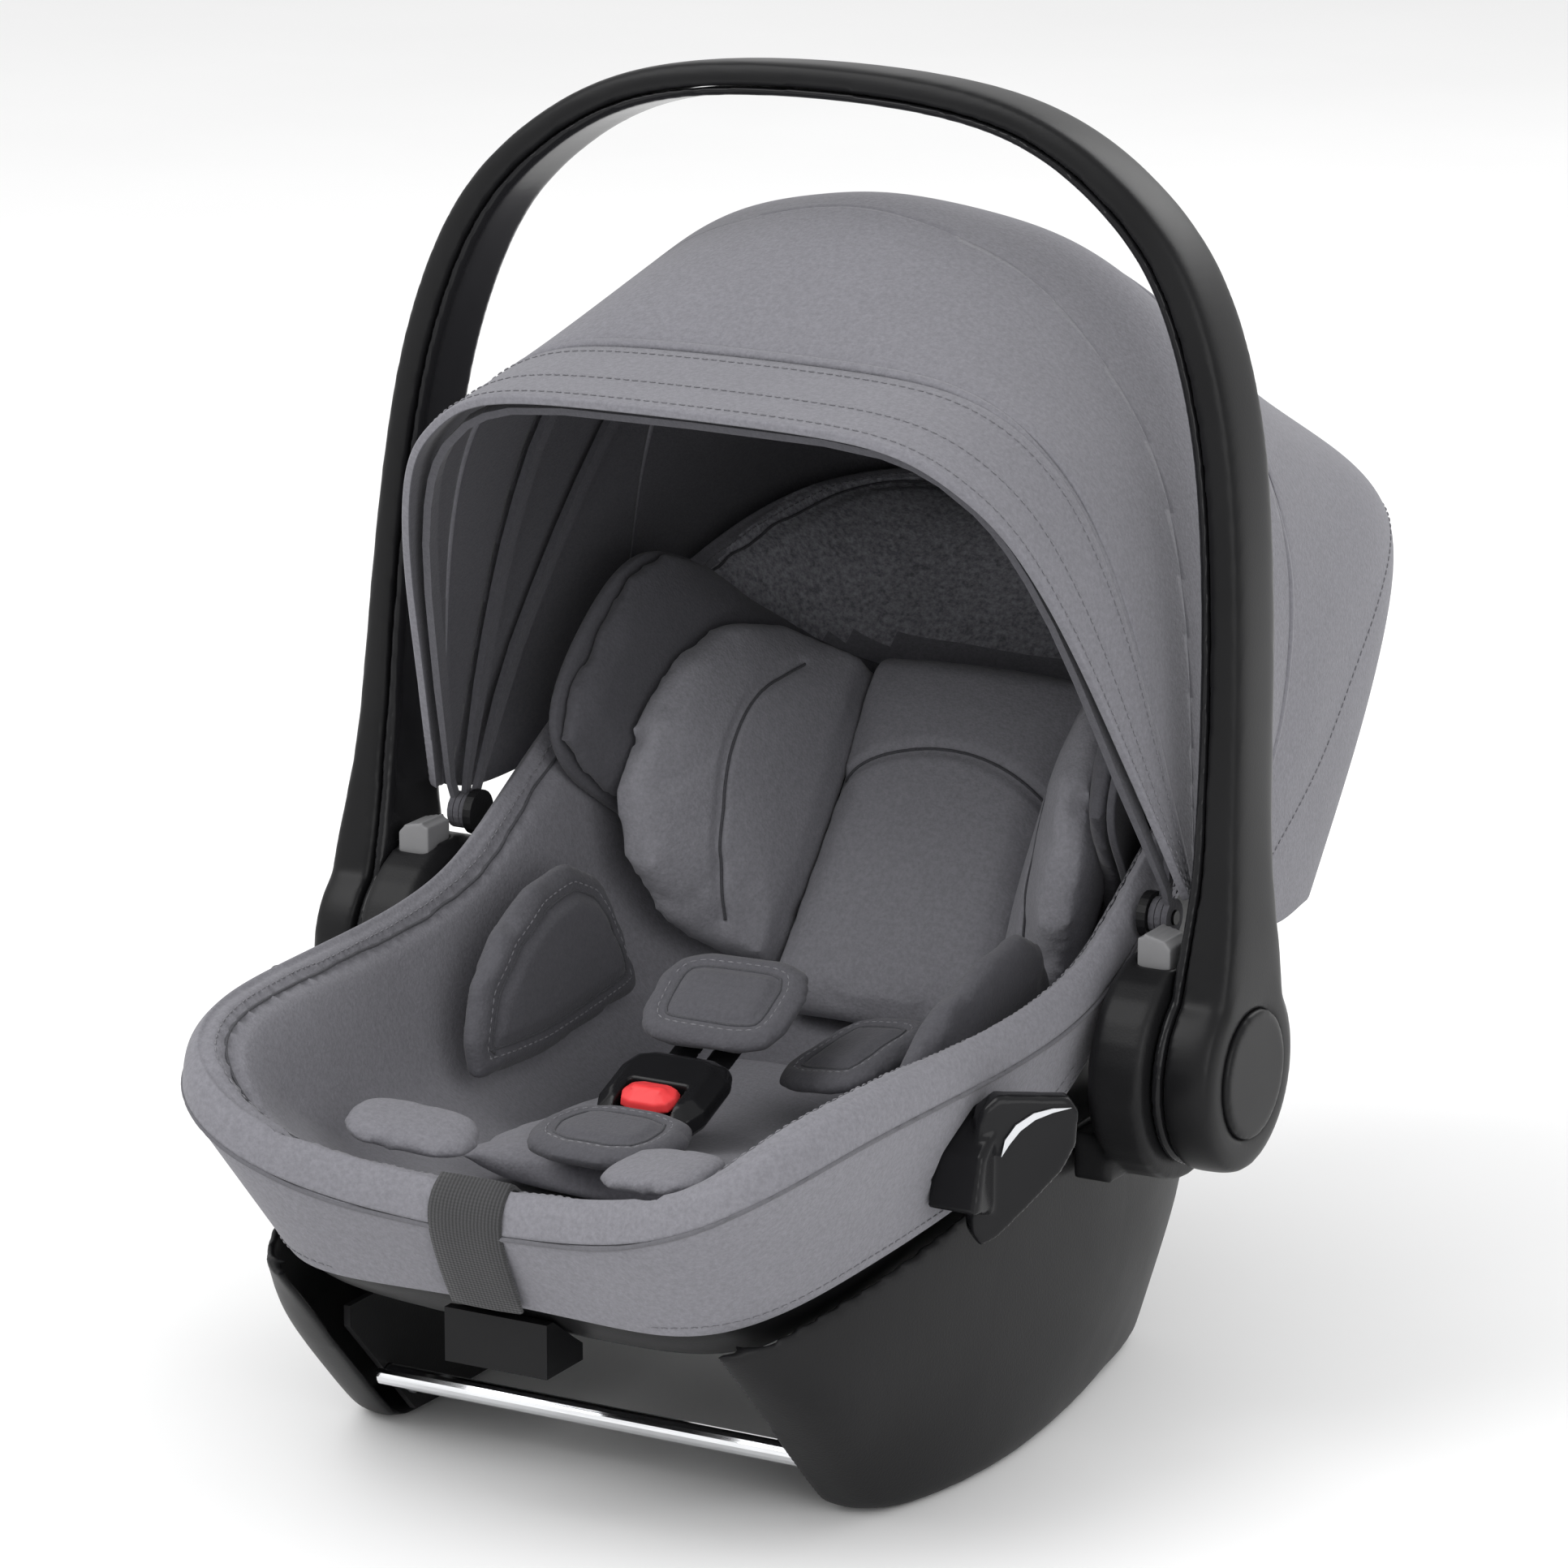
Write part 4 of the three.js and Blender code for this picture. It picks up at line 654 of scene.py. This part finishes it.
def hood_point(x, angle, radius):
    """A point on the hood's own axes: across, the angle back from upright, and the radius."""
    turn = math.radians(angle)
    return (x * MM, HOOD_PIVOT.y + radius * MM * math.sin(turn),
            HOOD_PIVOT.z + radius * MM * math.cos(turn))


def shot_on(surface, points, towards, count, far=0.3):
    """A smooth path thrown onto a surface along one direction, with its normals."""
    towards = Vector(towards).normalized()
    spots, facings = [], []
    for p in flowing(points, count):
        start = Vector(p) - towards * far
        spot, facing, _, _ = surface.ray_cast(start, towards, 2 * far)
        if spot is not None:
            spots.append(np.array(spot))
            facings.append(np.array(facing))
    return np.array(spots), np.array(facings)


# ------------------------------------------------------------------ edges of pads


def flat_axes(obj):
    """The middle of a pad and its three axes, the last one square to its face."""
    points = points_of(obj)
    middle = points.mean(axis=0)
    _, _, axes = np.linalg.svd(points - middle, full_matrices=False)
    return middle, axes


def hull_2d(spots):
    order = spots[np.lexsort((spots[:, 1], spots[:, 0]))]

    def half(run):
        kept = []
        for p in run:
            while len(kept) > 1:
                a, b = kept[-1] - kept[-2], p - kept[-2]
                if a[0] * b[1] - a[1] * b[0] > 0:
                    break
                kept.pop()
            kept.append(p)
        return kept[:-1]

    return np.array(half(order) + half(order[::-1]))


def face_ring(obj, inset, out, count=150):
    """A closed ring on a pad's face, a set distance inside its edge; out points off the face."""
    middle, axes = flat_axes(obj)
    normal = axes[2] if axes[2] @ np.asarray(out) > 0 else -axes[2]
    local = (points_of(obj) - middle) @ axes[:2].T
    ring = hull_2d(local)
    ring = np.vstack([ring, ring[:1]])
    run = np.concatenate([[0], np.cumsum(np.linalg.norm(np.diff(ring, axis=0), axis=1))])
    wanted = np.linspace(0, run[-1], count, endpoint=False)
    even = np.stack([np.interp(wanted, run, ring[:, k]) for k in range(2)], axis=1)
    for _ in range(6):
        even = 0.25 * np.roll(even, 1, 0) + 0.5 * even + 0.25 * np.roll(even, -1, 0)
    run = np.roll(even, -1, 0) - np.roll(even, 1, 0)
    inward = np.stack([-run[:, 1], run[:, 0]], axis=1)
    inward /= np.linalg.norm(inward, axis=1, keepdims=True)
    even = even + inward * inset
    surface = surface_of(obj)
    spots, facings = [], []
    for u, v in even:
        start = Vector(middle + u * axes[0] + v * axes[1] + normal * 0.2)
        spot, facing, _, _ = surface.ray_cast(start, Vector(-normal), 0.4)
        if spot is not None:
            spots.append(np.array(spot))
            facings.append(np.array(facing))
    return np.array(spots), np.array(facings)


def face_seam(obj, name, body, path, towards, width=0.006, depth=0.002):
    """A sewn line thrown onto a pad's face, with its valley and its thread."""
    spots, _ = shot_on(surface_of(obj), path, towards, 120)
    valley(obj, spots, width, depth)
    spots, facings = shot_on(surface_of(obj), path, towards, 120)
    thread = tube_along(f"{name}_seam", spots + facings * THREAD_LIFT, facings, 0.0007, "thread")
    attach(thread, body)


def valley(obj, spots, width, depth):
    """Draws a surface in along a line of points that lies on it."""
    tree = KDTree(len(spots))
    for i, spot in enumerate(spots):
        tree.insert(Vector(spot), i)
    tree.balance()
    points, facings = points_of(obj), normals_of(obj)
    for i, p in enumerate(points):
        distance = tree.find(Vector(p))[2]
        if distance < width:
            points[i] -= facings[i] * depth * (1 - (distance / width) ** 2) ** 2
    set_points(obj, points)


def bound_edge(obj, name, body, out, inset=0.011):
    """The flat binding round a pad: a sewn valley inside its edge, with a thread and stitches."""
    spots, _ = face_ring(obj, inset, out)
    valley(obj, spots, 0.006, 0.0018)
    spots, facings = face_ring(obj, inset, out)
    thread = tube_along(f"{name}_seam", spots, facings, 0.0007, "thread", closed=True)
    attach(thread, body)
    row_spots, row_facings = face_ring(obj, inset - 0.0035, out, 240)
    row = stitch_row(f"{name}_stitches", row_spots, row_facings, "top_stitch")
    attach(row, body)


def stuffed(node, name, body, cap, material="lining", out=None, voxel=None, shrink=0.003,
            inset=0.011):
    """A filled pad in place of its frame node, bound round the edge where its face shows."""
    pad = traced(node, name, material, quads=False)
    settled(pad, cap, voxel, shrink)
    pad.data.materials.clear()
    pad.data.materials.append(finish(material))
    if out is not None:
        bound_edge(pad, name, body, out, inset)
    dressed(pad, body, "fabric", node)
    return pad


# ------------------------------------------------------------------ operators


class SEAT_OT_plain_parts(Operator):
    """Finish the hard parts that show as they were moulded or pressed"""
    bl_idname = "seat.plain_parts"
    bl_label = "Shell, rods and hidden parts"

    def execute(self, context):
        kept = {
            "lining": ["hood_front_bow", "hood_middle_bow", "hood_rear_bow"],
            "foam": ["foam_liner"],
            "chrome": ["front_rod", "rear_rod"],
            "handle": ["strap_bracket"],
        }
        for pair, material in (("foot_web", "shell"), ("hood_clip", "shell"),
                               ("web_screw", "steel"), ("hinge_pin", "steel"),
                               ("lock_ring", "steel"), ("button_spring", "steel"),
                               ("belt_guide_trim", "silver")):
            kept.setdefault(material, []).extend(f"{pair}_{side}" for side, _ in SIDES)
        for material, nodes in kept.items():
            for node in nodes:
                refinished(node, material)
        shell = subdivided(traced("outer_shell", "shell_moulding", "shell"), 2)
        dressed(shell, "seat", "shell", "outer_shell")
        return {"FINISHED"}


class SEAT_OT_feet(Operator):
    """Build the rocker feet with eased moulded edges"""
    bl_idname = "seat.feet"
    bl_label = "Rocker feet"

    def execute(self, context):
        for side, _ in SIDES:
            foot = moulded(f"rocker_foot_{side}", f"rocker_foot_skin_{side}", "shell", 0.0024, 8,
                           swept=True)
            dressed(foot, "seat", "shell", f"rocker_foot_{side}")
        return {"FINISHED"}


class SEAT_OT_handle(Operator):
    """Build the carry handle's outer moulding and its polished inner strip"""
    bl_idname = "seat.handle"
    bl_label = "Carry handle"

    def execute(self, context):
        outer = moulded("handle_outer", "handle_grip", "handle", 0.0018, 6, swept=True)
        dressed(outer, "handle", "handle", "handle_outer")
        inner = moulded("handle_inner", "handle_strip", "gloss", 0.0014, 4, swept=True)
        dressed(inner, "handle", "gloss", "handle_inner")
        return {"FINISHED"}


class SEAT_OT_hubs(Operator):
    """Build the hinge housings and the caps over them"""
    bl_idname = "seat.hubs"
    bl_label = "Handle hubs"

    def execute(self, context):
        for side, _ in SIDES:
            housing = moulded(f"hub_housing_{side}", f"hub_casing_{side}", "shell", 0.0018, 4)
            dressed(housing, "seat", "shell", f"hub_housing_{side}")
            cap = moulded(f"hub_cap_{side}", f"hub_cover_{side}", "handle", 0.0016, 4)
            dressed(cap, "handle", "handle", f"hub_cap_{side}")
            button = moulded(f"release_button_{side}", f"release_thumb_{side}", "grey", 0.0007, 3)
            dressed(button, f"button_{side}", "grey", f"release_button_{side}")
        return {"FINISHED"}


class SEAT_OT_belt_guides(Operator):
    """Build the belt guide paddles"""
    bl_idname = "seat.belt_guides"
    bl_label = "Belt guides"

    def execute(self, context):
        for side, _ in SIDES:
            guide = moulded(f"belt_guide_{side}", f"belt_paddle_{side}", "gloss", 0.0014, 4)
            dressed(guide, "seat", "handle", f"belt_guide_{side}")
        return {"FINISHED"}


class SEAT_OT_cover(Operator):
    """Sew the seat cover: its bowl, its skirt, their seams and stitching"""
    bl_idname = "seat.cover"
    bl_label = "Seat cover"

    def execute(self, context):
        bowl = subdivided(self.whole_bowl(), 3)
        self.pad_out(bowl)
        crest = round_seat(drawn_in(CREST, 13, -4))
        joins = []
        for side in (1, -1):
            joins.append(seat_path([
                (side * 44, -196, 130), (side * 58, -214, 136), (side * 72, -236, 146),
                (side * 82, -256, 158), (side * 86, -266, 161)]))
        sewn(bowl, [crest], 0.008, 0.0026)
        for i, path in enumerate(joins):
            face_seam(bowl, f"cover_join_{i}", "seat", path, (0, 0, -1))
        assign_by(bowl, self.panel_of)
        dressed(bowl, "seat", "fabric", "seat_cover", "head_panel")
        seam_line(bowl, "cover_crest_seam", crest, "seat", count=420)
        top_stitched(bowl, "cover_crest_stitches", round_seat(drawn_in(CREST, 9, -2)), "seat", 900)
        skirt = subdivided(traced("cover_skirt", "cover_skirt_cloth", "outer"), 4)
        dressed(skirt, "seat", "fabric", "cover_skirt")
        edge = round_seat(drawn_in(CREST, -7.6, -17.4))
        spots, facings = laid_on(surface_of(skirt), edge, 420, lift=0.0)
        piping = tube_along("cover_edge_piping", spots, facings, 0.0011, "piping", closed=True)
        dressed(piping, "seat", "fabric")
        for k, rise in enumerate((5, 13)):
            top_stitched(skirt, f"hem_stitches_{k}", round_seat(drawn_in(HEM, -1, rise)),
                         "seat", 900)
        return {"FINISHED"}

    def whole_bowl(self):
        """The seat panel and the head panel welded along the seam between them."""
        bm = bmesh.new()
        for node in ("seat_cover", "head_panel"):
            bm.from_mesh(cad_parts[node].data)
        seam = HINGE.y + 0.058
        ends = [f for f in bm.faces if all(abs(v.co.y - seam) < 0.0004 for v in f.verts)]
        bmesh.ops.delete(bm, geom=ends, context="FACES")
        meeting = [vertex for vertex in bm.verts if abs(vertex.co.y - seam) < 0.0004]
        for vertex in meeting:
            vertex.co.y = seam
        bmesh.ops.remove_doubles(bm, verts=meeting, dist=1.5e-3)
        bmesh.ops.remove_doubles(bm, verts=bm.verts, dist=2e-5)
        bmesh.ops.dissolve_limit(
            bm, angle_limit=math.radians(1.2), verts=bm.verts, edges=bm.edges)
        bmesh.ops.triangulate(bm, faces=bm.faces)
        bmesh.ops.join_triangles(
            bm, faces=bm.faces, angle_face_threshold=math.radians(50),
            angle_shape_threshold=math.radians(100))
        bmesh.ops.recalc_face_normals(bm, faces=bm.faces)
        crease = bm.edges.layers.float.new("crease_edge")
        for edge in bm.edges:
            if edge.is_manifold and edge.calc_face_angle(0) > math.radians(58):
                edge[crease] = 0.85
        mesh = bpy.data.meshes.new("cover_bowl")
        bm.to_mesh(mesh)
        bm.free()
        return new_object("cover_bowl", mesh, "outer", "lining", "heather")

    def pad_out(self, bowl):
        """Swells the inside of the cover behind its edge, most at the foot end."""
        crest = flowing(round_seat(CREST), 600)
        tree = KDTree(len(crest))
        for i, spot in enumerate(crest):
            tree.insert(Vector(spot), i)
        tree.balance()
        points, facings = points_of(bowl), normals_of(bowl)
        for i, p in enumerate(points):
            reach = p[1] - HINGE.y
            centre = Vector((0, HINGE.y + min(max(reach, -0.15), 0.2), p[2] + 0.12))
            towards = (centre - Vector(p)).normalized().dot(Vector(facings[i]))
            if towards <= 0:
                continue
            inward = tree.find(Vector(p))[2]
            if inward > 0.075 or inward < 0.004:
                continue
            foot = min(max((-0.10 - reach) / 0.08, 0.0), 1.0)
            high = 0.0045 + 0.0065 * foot
            profile = math.sin(math.pi * ((inward - 0.004) / 0.071) ** 0.62)
            points[i] += facings[i] * high * profile * min(1.0, towards * 2)
        set_points(bowl, points)

    @staticmethod
    def panel_of(middle, normal):
        x, y, z = middle[0], middle[1] - HINGE.y, middle[2]
        inside = abs(x) < 0.140 and y < 0.305
        if y > 0.055 and inside and 0.26 < z < 0.318:
            return 2
        return 0


class SEAT_OT_hood(Operator):
    """Stretch the hood's fabric over its bows, with seams, bands and a sewn edge"""
    bl_idname = "seat.hood"
    bl_label = "Hood"

    def execute(self, context):
        visor = self.skin("hood_visor", "hood_visor_cloth")
        dressed(visor, "hood_front", "fabric", "hood_visor")
        middle_angle = math.radians(9.5)
        dome = self.skin("hood_dome", "hood_dome_front")
        rear = self.skin("hood_dome", "hood_dome_rear")
        across = Vector((0, math.cos(middle_angle), -math.sin(middle_angle)))
        self.trimmed(dome, across)
        self.trimmed(rear, -across)
        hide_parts("hood_dome")
        tail = self.skin("hood_tail", "hood_tail_cloth")
        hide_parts("hood_tail")
        self.seams(visor, dome, rear, tail)
        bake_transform(dome)
        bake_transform(rear)
        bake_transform(tail)
        return {"FINISHED"}

    TAIL_TOP = hood_point(0, 32, 215)
    TAIL_HEM = (0, HINGE.y + 0.230, 0.19)
    VISOR_ROWS = (("visor_edge", -25.2), ("visor_band", -20.5), ("visor_band_inner", -13.0))
    TAIL_BAND = [(168, 122, 214), (166, 180, 245), (163, 232, 285), (156, 275, 318),
                 (138, 303, 335), (104, 326, 339), (55, 339, 340), (0, 342, 340)]

    def skin(self, node, name):
        cloth = subdivided(traced(node, name, "outer", "lining"), 3)
        assign_by(cloth, lambda middle, normal: 1 if normal.dot(middle - HOOD_MIDDLE) < 0 else 0)
        return cloth

    def trimmed(self, cloth, normal):
        """Keeps the cloth on one side of the plane through the hood's pivot."""
        bm = bmesh.new()
        bm.from_mesh(cloth.data)
        cut = bmesh.ops.bisect_plane(
            bm, geom=bm.verts[:] + bm.edges[:] + bm.faces[:], plane_co=HOOD_PIVOT,
            plane_no=normal, clear_outer=True)
        edges = [item for item in cut["geom_cut"] if isinstance(item, bmesh.types.BMEdge)]
        bmesh.ops.holes_fill(bm, edges=edges, sides=0)
        bm.to_mesh(cloth.data)
        bm.free()

    def seams(self, visor, dome, rear, tail):
        """Stitch rows on the visor and tail, and piped joins on both sides of the dome."""
        for name, angle in self.VISOR_ROWS:
            spots, facings = self.arc_on(visor, angle)
            if len(spots) > 8:
                row = stitch_row(f"{name}_stitches", spots, facings, "top_stitch")
                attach(row, "hood_front")

        band = seat_path(both_ways(self.TAIL_BAND))
        spots, facings = laid_on(surface_of(tail), band, 500, lift=THREAD_LIFT)
        row = stitch_row("tail_band_stitches", spots, facings, "top_stitch")
        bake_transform(row)
        for name, cloth, other, body in (("visor_join", dome, visor, "hood_front"),
                                         ("tail_join", rear, tail, "hood_rear")):
            spots, facings = self.meeting_line(cloth, other)
            cord = tube_along(f"{name}_piping", spots, facings, 0.0026, "outer", flat=0.8)
            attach(cord, body)

    def meeting_line(self, cloth, other, reach=0.009, bins=90):
        """The line midway between two neighbouring panels, from one side over to the other."""
        surface = surface_of(other)
        centre = np.array(HOOD_MIDDLE)
        gathered = {}
        for p, facing in zip(points_of(cloth), normals_of(cloth)):
            spot, _, _, distance = surface.find_nearest(Vector(p), reach)
            if spot is None or (p - centre) @ facing < 0:
                continue
            rise = math.hypot(p[1] - HOOD_PIVOT.y, p[2] - HOOD_PIVOT.z)
            slot = round(math.atan2(p[0], rise) / math.pi * bins * 2)
            gathered.setdefault(slot, []).append((distance, 0.5 * (p + np.array(spot))))
        spots = []
        for slot in sorted(gathered):
            nearest = sorted(gathered[slot], key=lambda item: item[0])[:6]
            spots.append(np.mean([spot for _, spot in nearest], axis=0))
        spots = flowing(spots, 320)
        for _ in range(30):
            spots[1:-1] = 0.25 * spots[:-2] + 0.5 * spots[1:-1] + 0.25 * spots[2:]
        facings = spots - centre
        facings /= np.linalg.norm(facings, axis=1, keepdims=True)
        return spots, facings

    def arc_on(self, cloth, angle, count=300):
        """Points where the plane at one angle through the pivot meets the hood's outside."""
        surface = surface_of(cloth)
        turn = math.radians(angle)
        up = Vector((0, math.sin(turn), math.cos(turn)))
        spots, facings = [], []
        for k in range(count + 1):
            sweep = math.pi * (k / count - 0.5)
            ray = Vector((math.sin(sweep), 0, 0)) + up * math.cos(sweep)
            start = HOOD_PIVOT + ray * 0.5
            spot, facing, _, _ = surface.ray_cast(start, -ray, 0.5)
            if spot is not None and (spot - start).length < 0.42:
                spots.append(np.array(spot) + np.array(facing) * THREAD_LIFT)
                facings.append(np.array(facing))
        return np.array(spots), np.array(facings)


class SEAT_OT_headrest(Operator):
    """Build the headrest's padded wings over their shell"""
    bl_idname = "seat.headrest"
    bl_label = "Headrest"

    def execute(self, context):
        shell = subdivided(traced("headrest_shell", "headrest_back", "lining"), 2)
        dressed(shell, "headrest", "shell", "headrest_shell")
        stuffed("headrest_pad", "headrest_wings", "headrest", 0.004, "lining", voxel=0.0028,
                shrink=0.0015)
        return {"FINISHED"}


class SEAT_OT_insert(Operator):
    """Fill the newborn insert: its back panel, side pillows and seat pad"""
    bl_idname = "seat.insert"
    bl_label = "Newborn insert"

    def execute(self, context):
        # The back pad and the side pillows wear the insert knit. It is the outer knit made
        # lighter, so the extra brightness on them is painted light.
        back = stuffed("insert_back", "insert_back_pad", "seat", 0.005, "insert", voxel=0.003,
                       shrink=0.001)
        towards = (0, math.sin(BACK_TILT), -math.cos(BACK_TILT))
        arc = [back_point(x * MM, (119 - 17 * (x / 52) ** 2) * MM, 0.05)
               for x in range(-52, 53, 13)]
        face_seam(back, "insert_back_arc", "seat", arc, towards)
        for side, sign in SIDES:
            pillow = stuffed(f"insert_pillow_{side}", f"insert_pillow_cloth_{side}", "seat",
                             0.007, "insert", voxel=0.003, shrink=0.001)
            line = [back_point(sign * x * MM, up * MM, 0.12)
                    for x, up in ((74, 20), (76, 50), (78, 84), (77, 118), (72, 142))]
            face_seam(pillow, f"insert_pillow_line_{side}", "seat", line, towards, 0.005, 0.0015)
        seat_pad = stuffed("seat_pad", "seat_pad_cloth", "seat", 0.006, "outer", voxel=0.003)
        self.even_sides(seat_pad)
        for side, _ in SIDES:
            stuffed(f"thigh_pad_{side}", f"thigh_pad_cloth_{side}", "seat", 0.006, "outer",
                    voxel=0.004)
        return {"FINISHED"}

    @staticmethod
    def even_sides(pad, bins=60, reach=8):
        """Draws the pad's thin side edges in to one smooth line."""
        points = points_of(pad)
        low, high = points[:, 1].min(), points[:, 1].max()
        slots = np.minimum(((points[:, 1] - low) / (high - low) * bins).astype(int), bins - 1)
        widths = np.array([np.abs(points[slots == k, 0]).max() for k in range(bins)])
        inner = np.array([widths[max(0, k - reach):k + reach + 1].min() for k in range(bins)])
        for _ in range(20):
            inner[1:-1] = 0.25 * inner[:-2] + 0.5 * inner[1:-1] + 0.25 * inner[2:]
        limits = np.interp((points[:, 1] - low) / (high - low) * bins - 0.5,
                           np.arange(bins), inner)
        points[:, 0] = np.clip(points[:, 0], -limits, limits)
        set_points(pad, points)


class SEAT_OT_harness(Operator):
    """Build the harness pads, buckle, tongues and adjuster strap"""
    bl_idname = "seat.harness"
    bl_label = "Harness"

    def execute(self, context):
        for side, sign in SIDES:
            stuffed(f"hip_pad_{side}", f"hip_pad_cloth_{side}", "seat", 0.004, "lining",
                    out=(-sign, 0, 0.5), voxel=0.003, shrink=0.0015)
            stuffed(f"chest_pad_{side}", f"chest_pad_cloth_{side}", "seat", 0.004, "lining",
                    out=(0, -0.5, 1), voxel=0.0025, shrink=0.0015)
        stuffed("crotch_pad", "crotch_pad_cloth", "seat", 0.004, "lining", out=(0, -0.5, 1),
                voxel=0.0025, shrink=0.0015)
        buckle = moulded("buckle", "buckle_case", "gloss", 0.001, 3)
        dressed(buckle, "seat", "gloss", "buckle")
        button = moulded("buckle_button", "buckle_press_button", "red", 0.0007, 2)
        dressed(button, "buckle_press", "red", "buckle_button")
        for side, _ in SIDES:
            tongue = moulded(f"harness_tongue_{side}", f"harness_tongue_skin_{side}", "gloss",
                             0.0008, 2)
            dressed(tongue, "seat", "gloss", f"harness_tongue_{side}")
        strap = subdivided(traced("adjuster_strap", "adjuster_webbing", "webbing"), 2)
        dressed(strap, "seat", "webbing", "adjuster_strap")
        return {"FINISHED"}


class SEAT_OT_studio(Operator):
    """Set the pale floor, the soft lights and the camera"""
    bl_idname = "seat.studio"
    bl_label = "Studio"

    def execute(self, context):
        stage = context.scene.seat_stage
        context.scene.view_settings.view_transform = "Standard"
        self.floor()
        self.sky(context.scene)
        self.lamp("key", (-1.4, -1.5, 2.6), 55, 2.2)
        self.lamp("fill", (2.2, -1.8, 1.3), 26, 2.0)
        self.lamp("rim", (0.6, 2.2, 2.0), 26, 1.8)
        azimuth, elevation = stage.azimuth, stage.elevation
        back = Vector((math.sin(azimuth) * math.cos(elevation),
                       -math.cos(azimuth) * math.cos(elevation), math.sin(elevation)))
        data = bpy.data.cameras.new("viewer")
        data.lens = stage.lens
        data.sensor_width = 36
        camera = bpy.data.objects.new("viewer", data)
        context.scene.collection.objects.link(camera)
        camera.location = AIM + back * stage.distance
        camera.rotation_euler = back.to_track_quat("Z", "Y").to_euler()
        context.scene.camera = camera
        return {"FINISHED"}

    def floor(self):
        mesh = bpy.data.meshes.new("floor")
        size = 12.0
        mesh.from_pydata([(-size, -size, 0), (size, -size, 0), (size, size, 0), (-size, size, 0)],
                         [], [(0, 1, 2, 3)])
        material, tree, shader, place = new_material("pale_floor", roughness=0.85)
        speckle = wire(tree, "ShaderNodeTexNoise", {"Vector": place, "Scale": 3.0, "Detail": 6.0})
        tree.links.new(two_tone(tree, speckle.outputs["Fac"], (0.9, 0.9, 0.9), 0.99, 1.01),
                       shader.inputs["Base Color"])
        mesh.materials.append(material)
        ground = bpy.data.objects.new("floor", mesh)
        bpy.context.scene.collection.objects.link(ground)

    def sky(self, scene):
        world = bpy.data.worlds.new("studio")
        world.use_nodes = True
        world.node_tree.nodes["Background"].inputs["Color"].default_value = (1, 1, 1, 1)
        world.node_tree.nodes["Background"].inputs["Strength"].default_value = 0.85
        scene.world = world

    def lamp(self, name, place, power, size):
        data = bpy.data.lights.new(name, "AREA")
        data.energy = power
        data.size = size
        lamp = bpy.data.objects.new(name, data)
        bpy.context.scene.collection.objects.link(lamp)
        lamp.location = place
        lamp.rotation_euler = (Vector(place) - LAMP_AIM).to_track_quat(
            "Z", "Y").to_euler()


OPERATORS = (
    SEAT_OT_plain_parts, SEAT_OT_feet, SEAT_OT_handle, SEAT_OT_hubs, SEAT_OT_belt_guides,
    SEAT_OT_cover, SEAT_OT_hood, SEAT_OT_headrest, SEAT_OT_insert, SEAT_OT_harness,
    SEAT_OT_studio,
)


class SEAT_PT_parts(Panel):
    bl_label = "Infant Seat"
    bl_idname = "SEAT_PT_parts"
    bl_space_type = "VIEW_3D"
    bl_region_type = "UI"
    bl_category = "Infant Seat"

    def draw(self, context):
        for operator in OPERATORS:
            self.layout.operator(operator.bl_idname)


def register():
    for cls in (*SETTINGS.values(), *OPERATORS, SEAT_PT_parts):
        bpy.utils.register_class(cls)
    for name, group in SETTINGS.items():
        setattr(bpy.types.Scene, name, PointerProperty(type=group))


def unregister():
    for name in SETTINGS:
        delattr(bpy.types.Scene, name)
    for cls in reversed((*SETTINGS.values(), *OPERATORS, SEAT_PT_parts)):
        bpy.utils.unregister_class(cls)


def main():
    register()
    for operator in OPERATORS:
        category, name = operator.bl_idname.split(".")
        getattr(getattr(bpy.ops, category), name)()


if __name__ == "__main__":
    main()
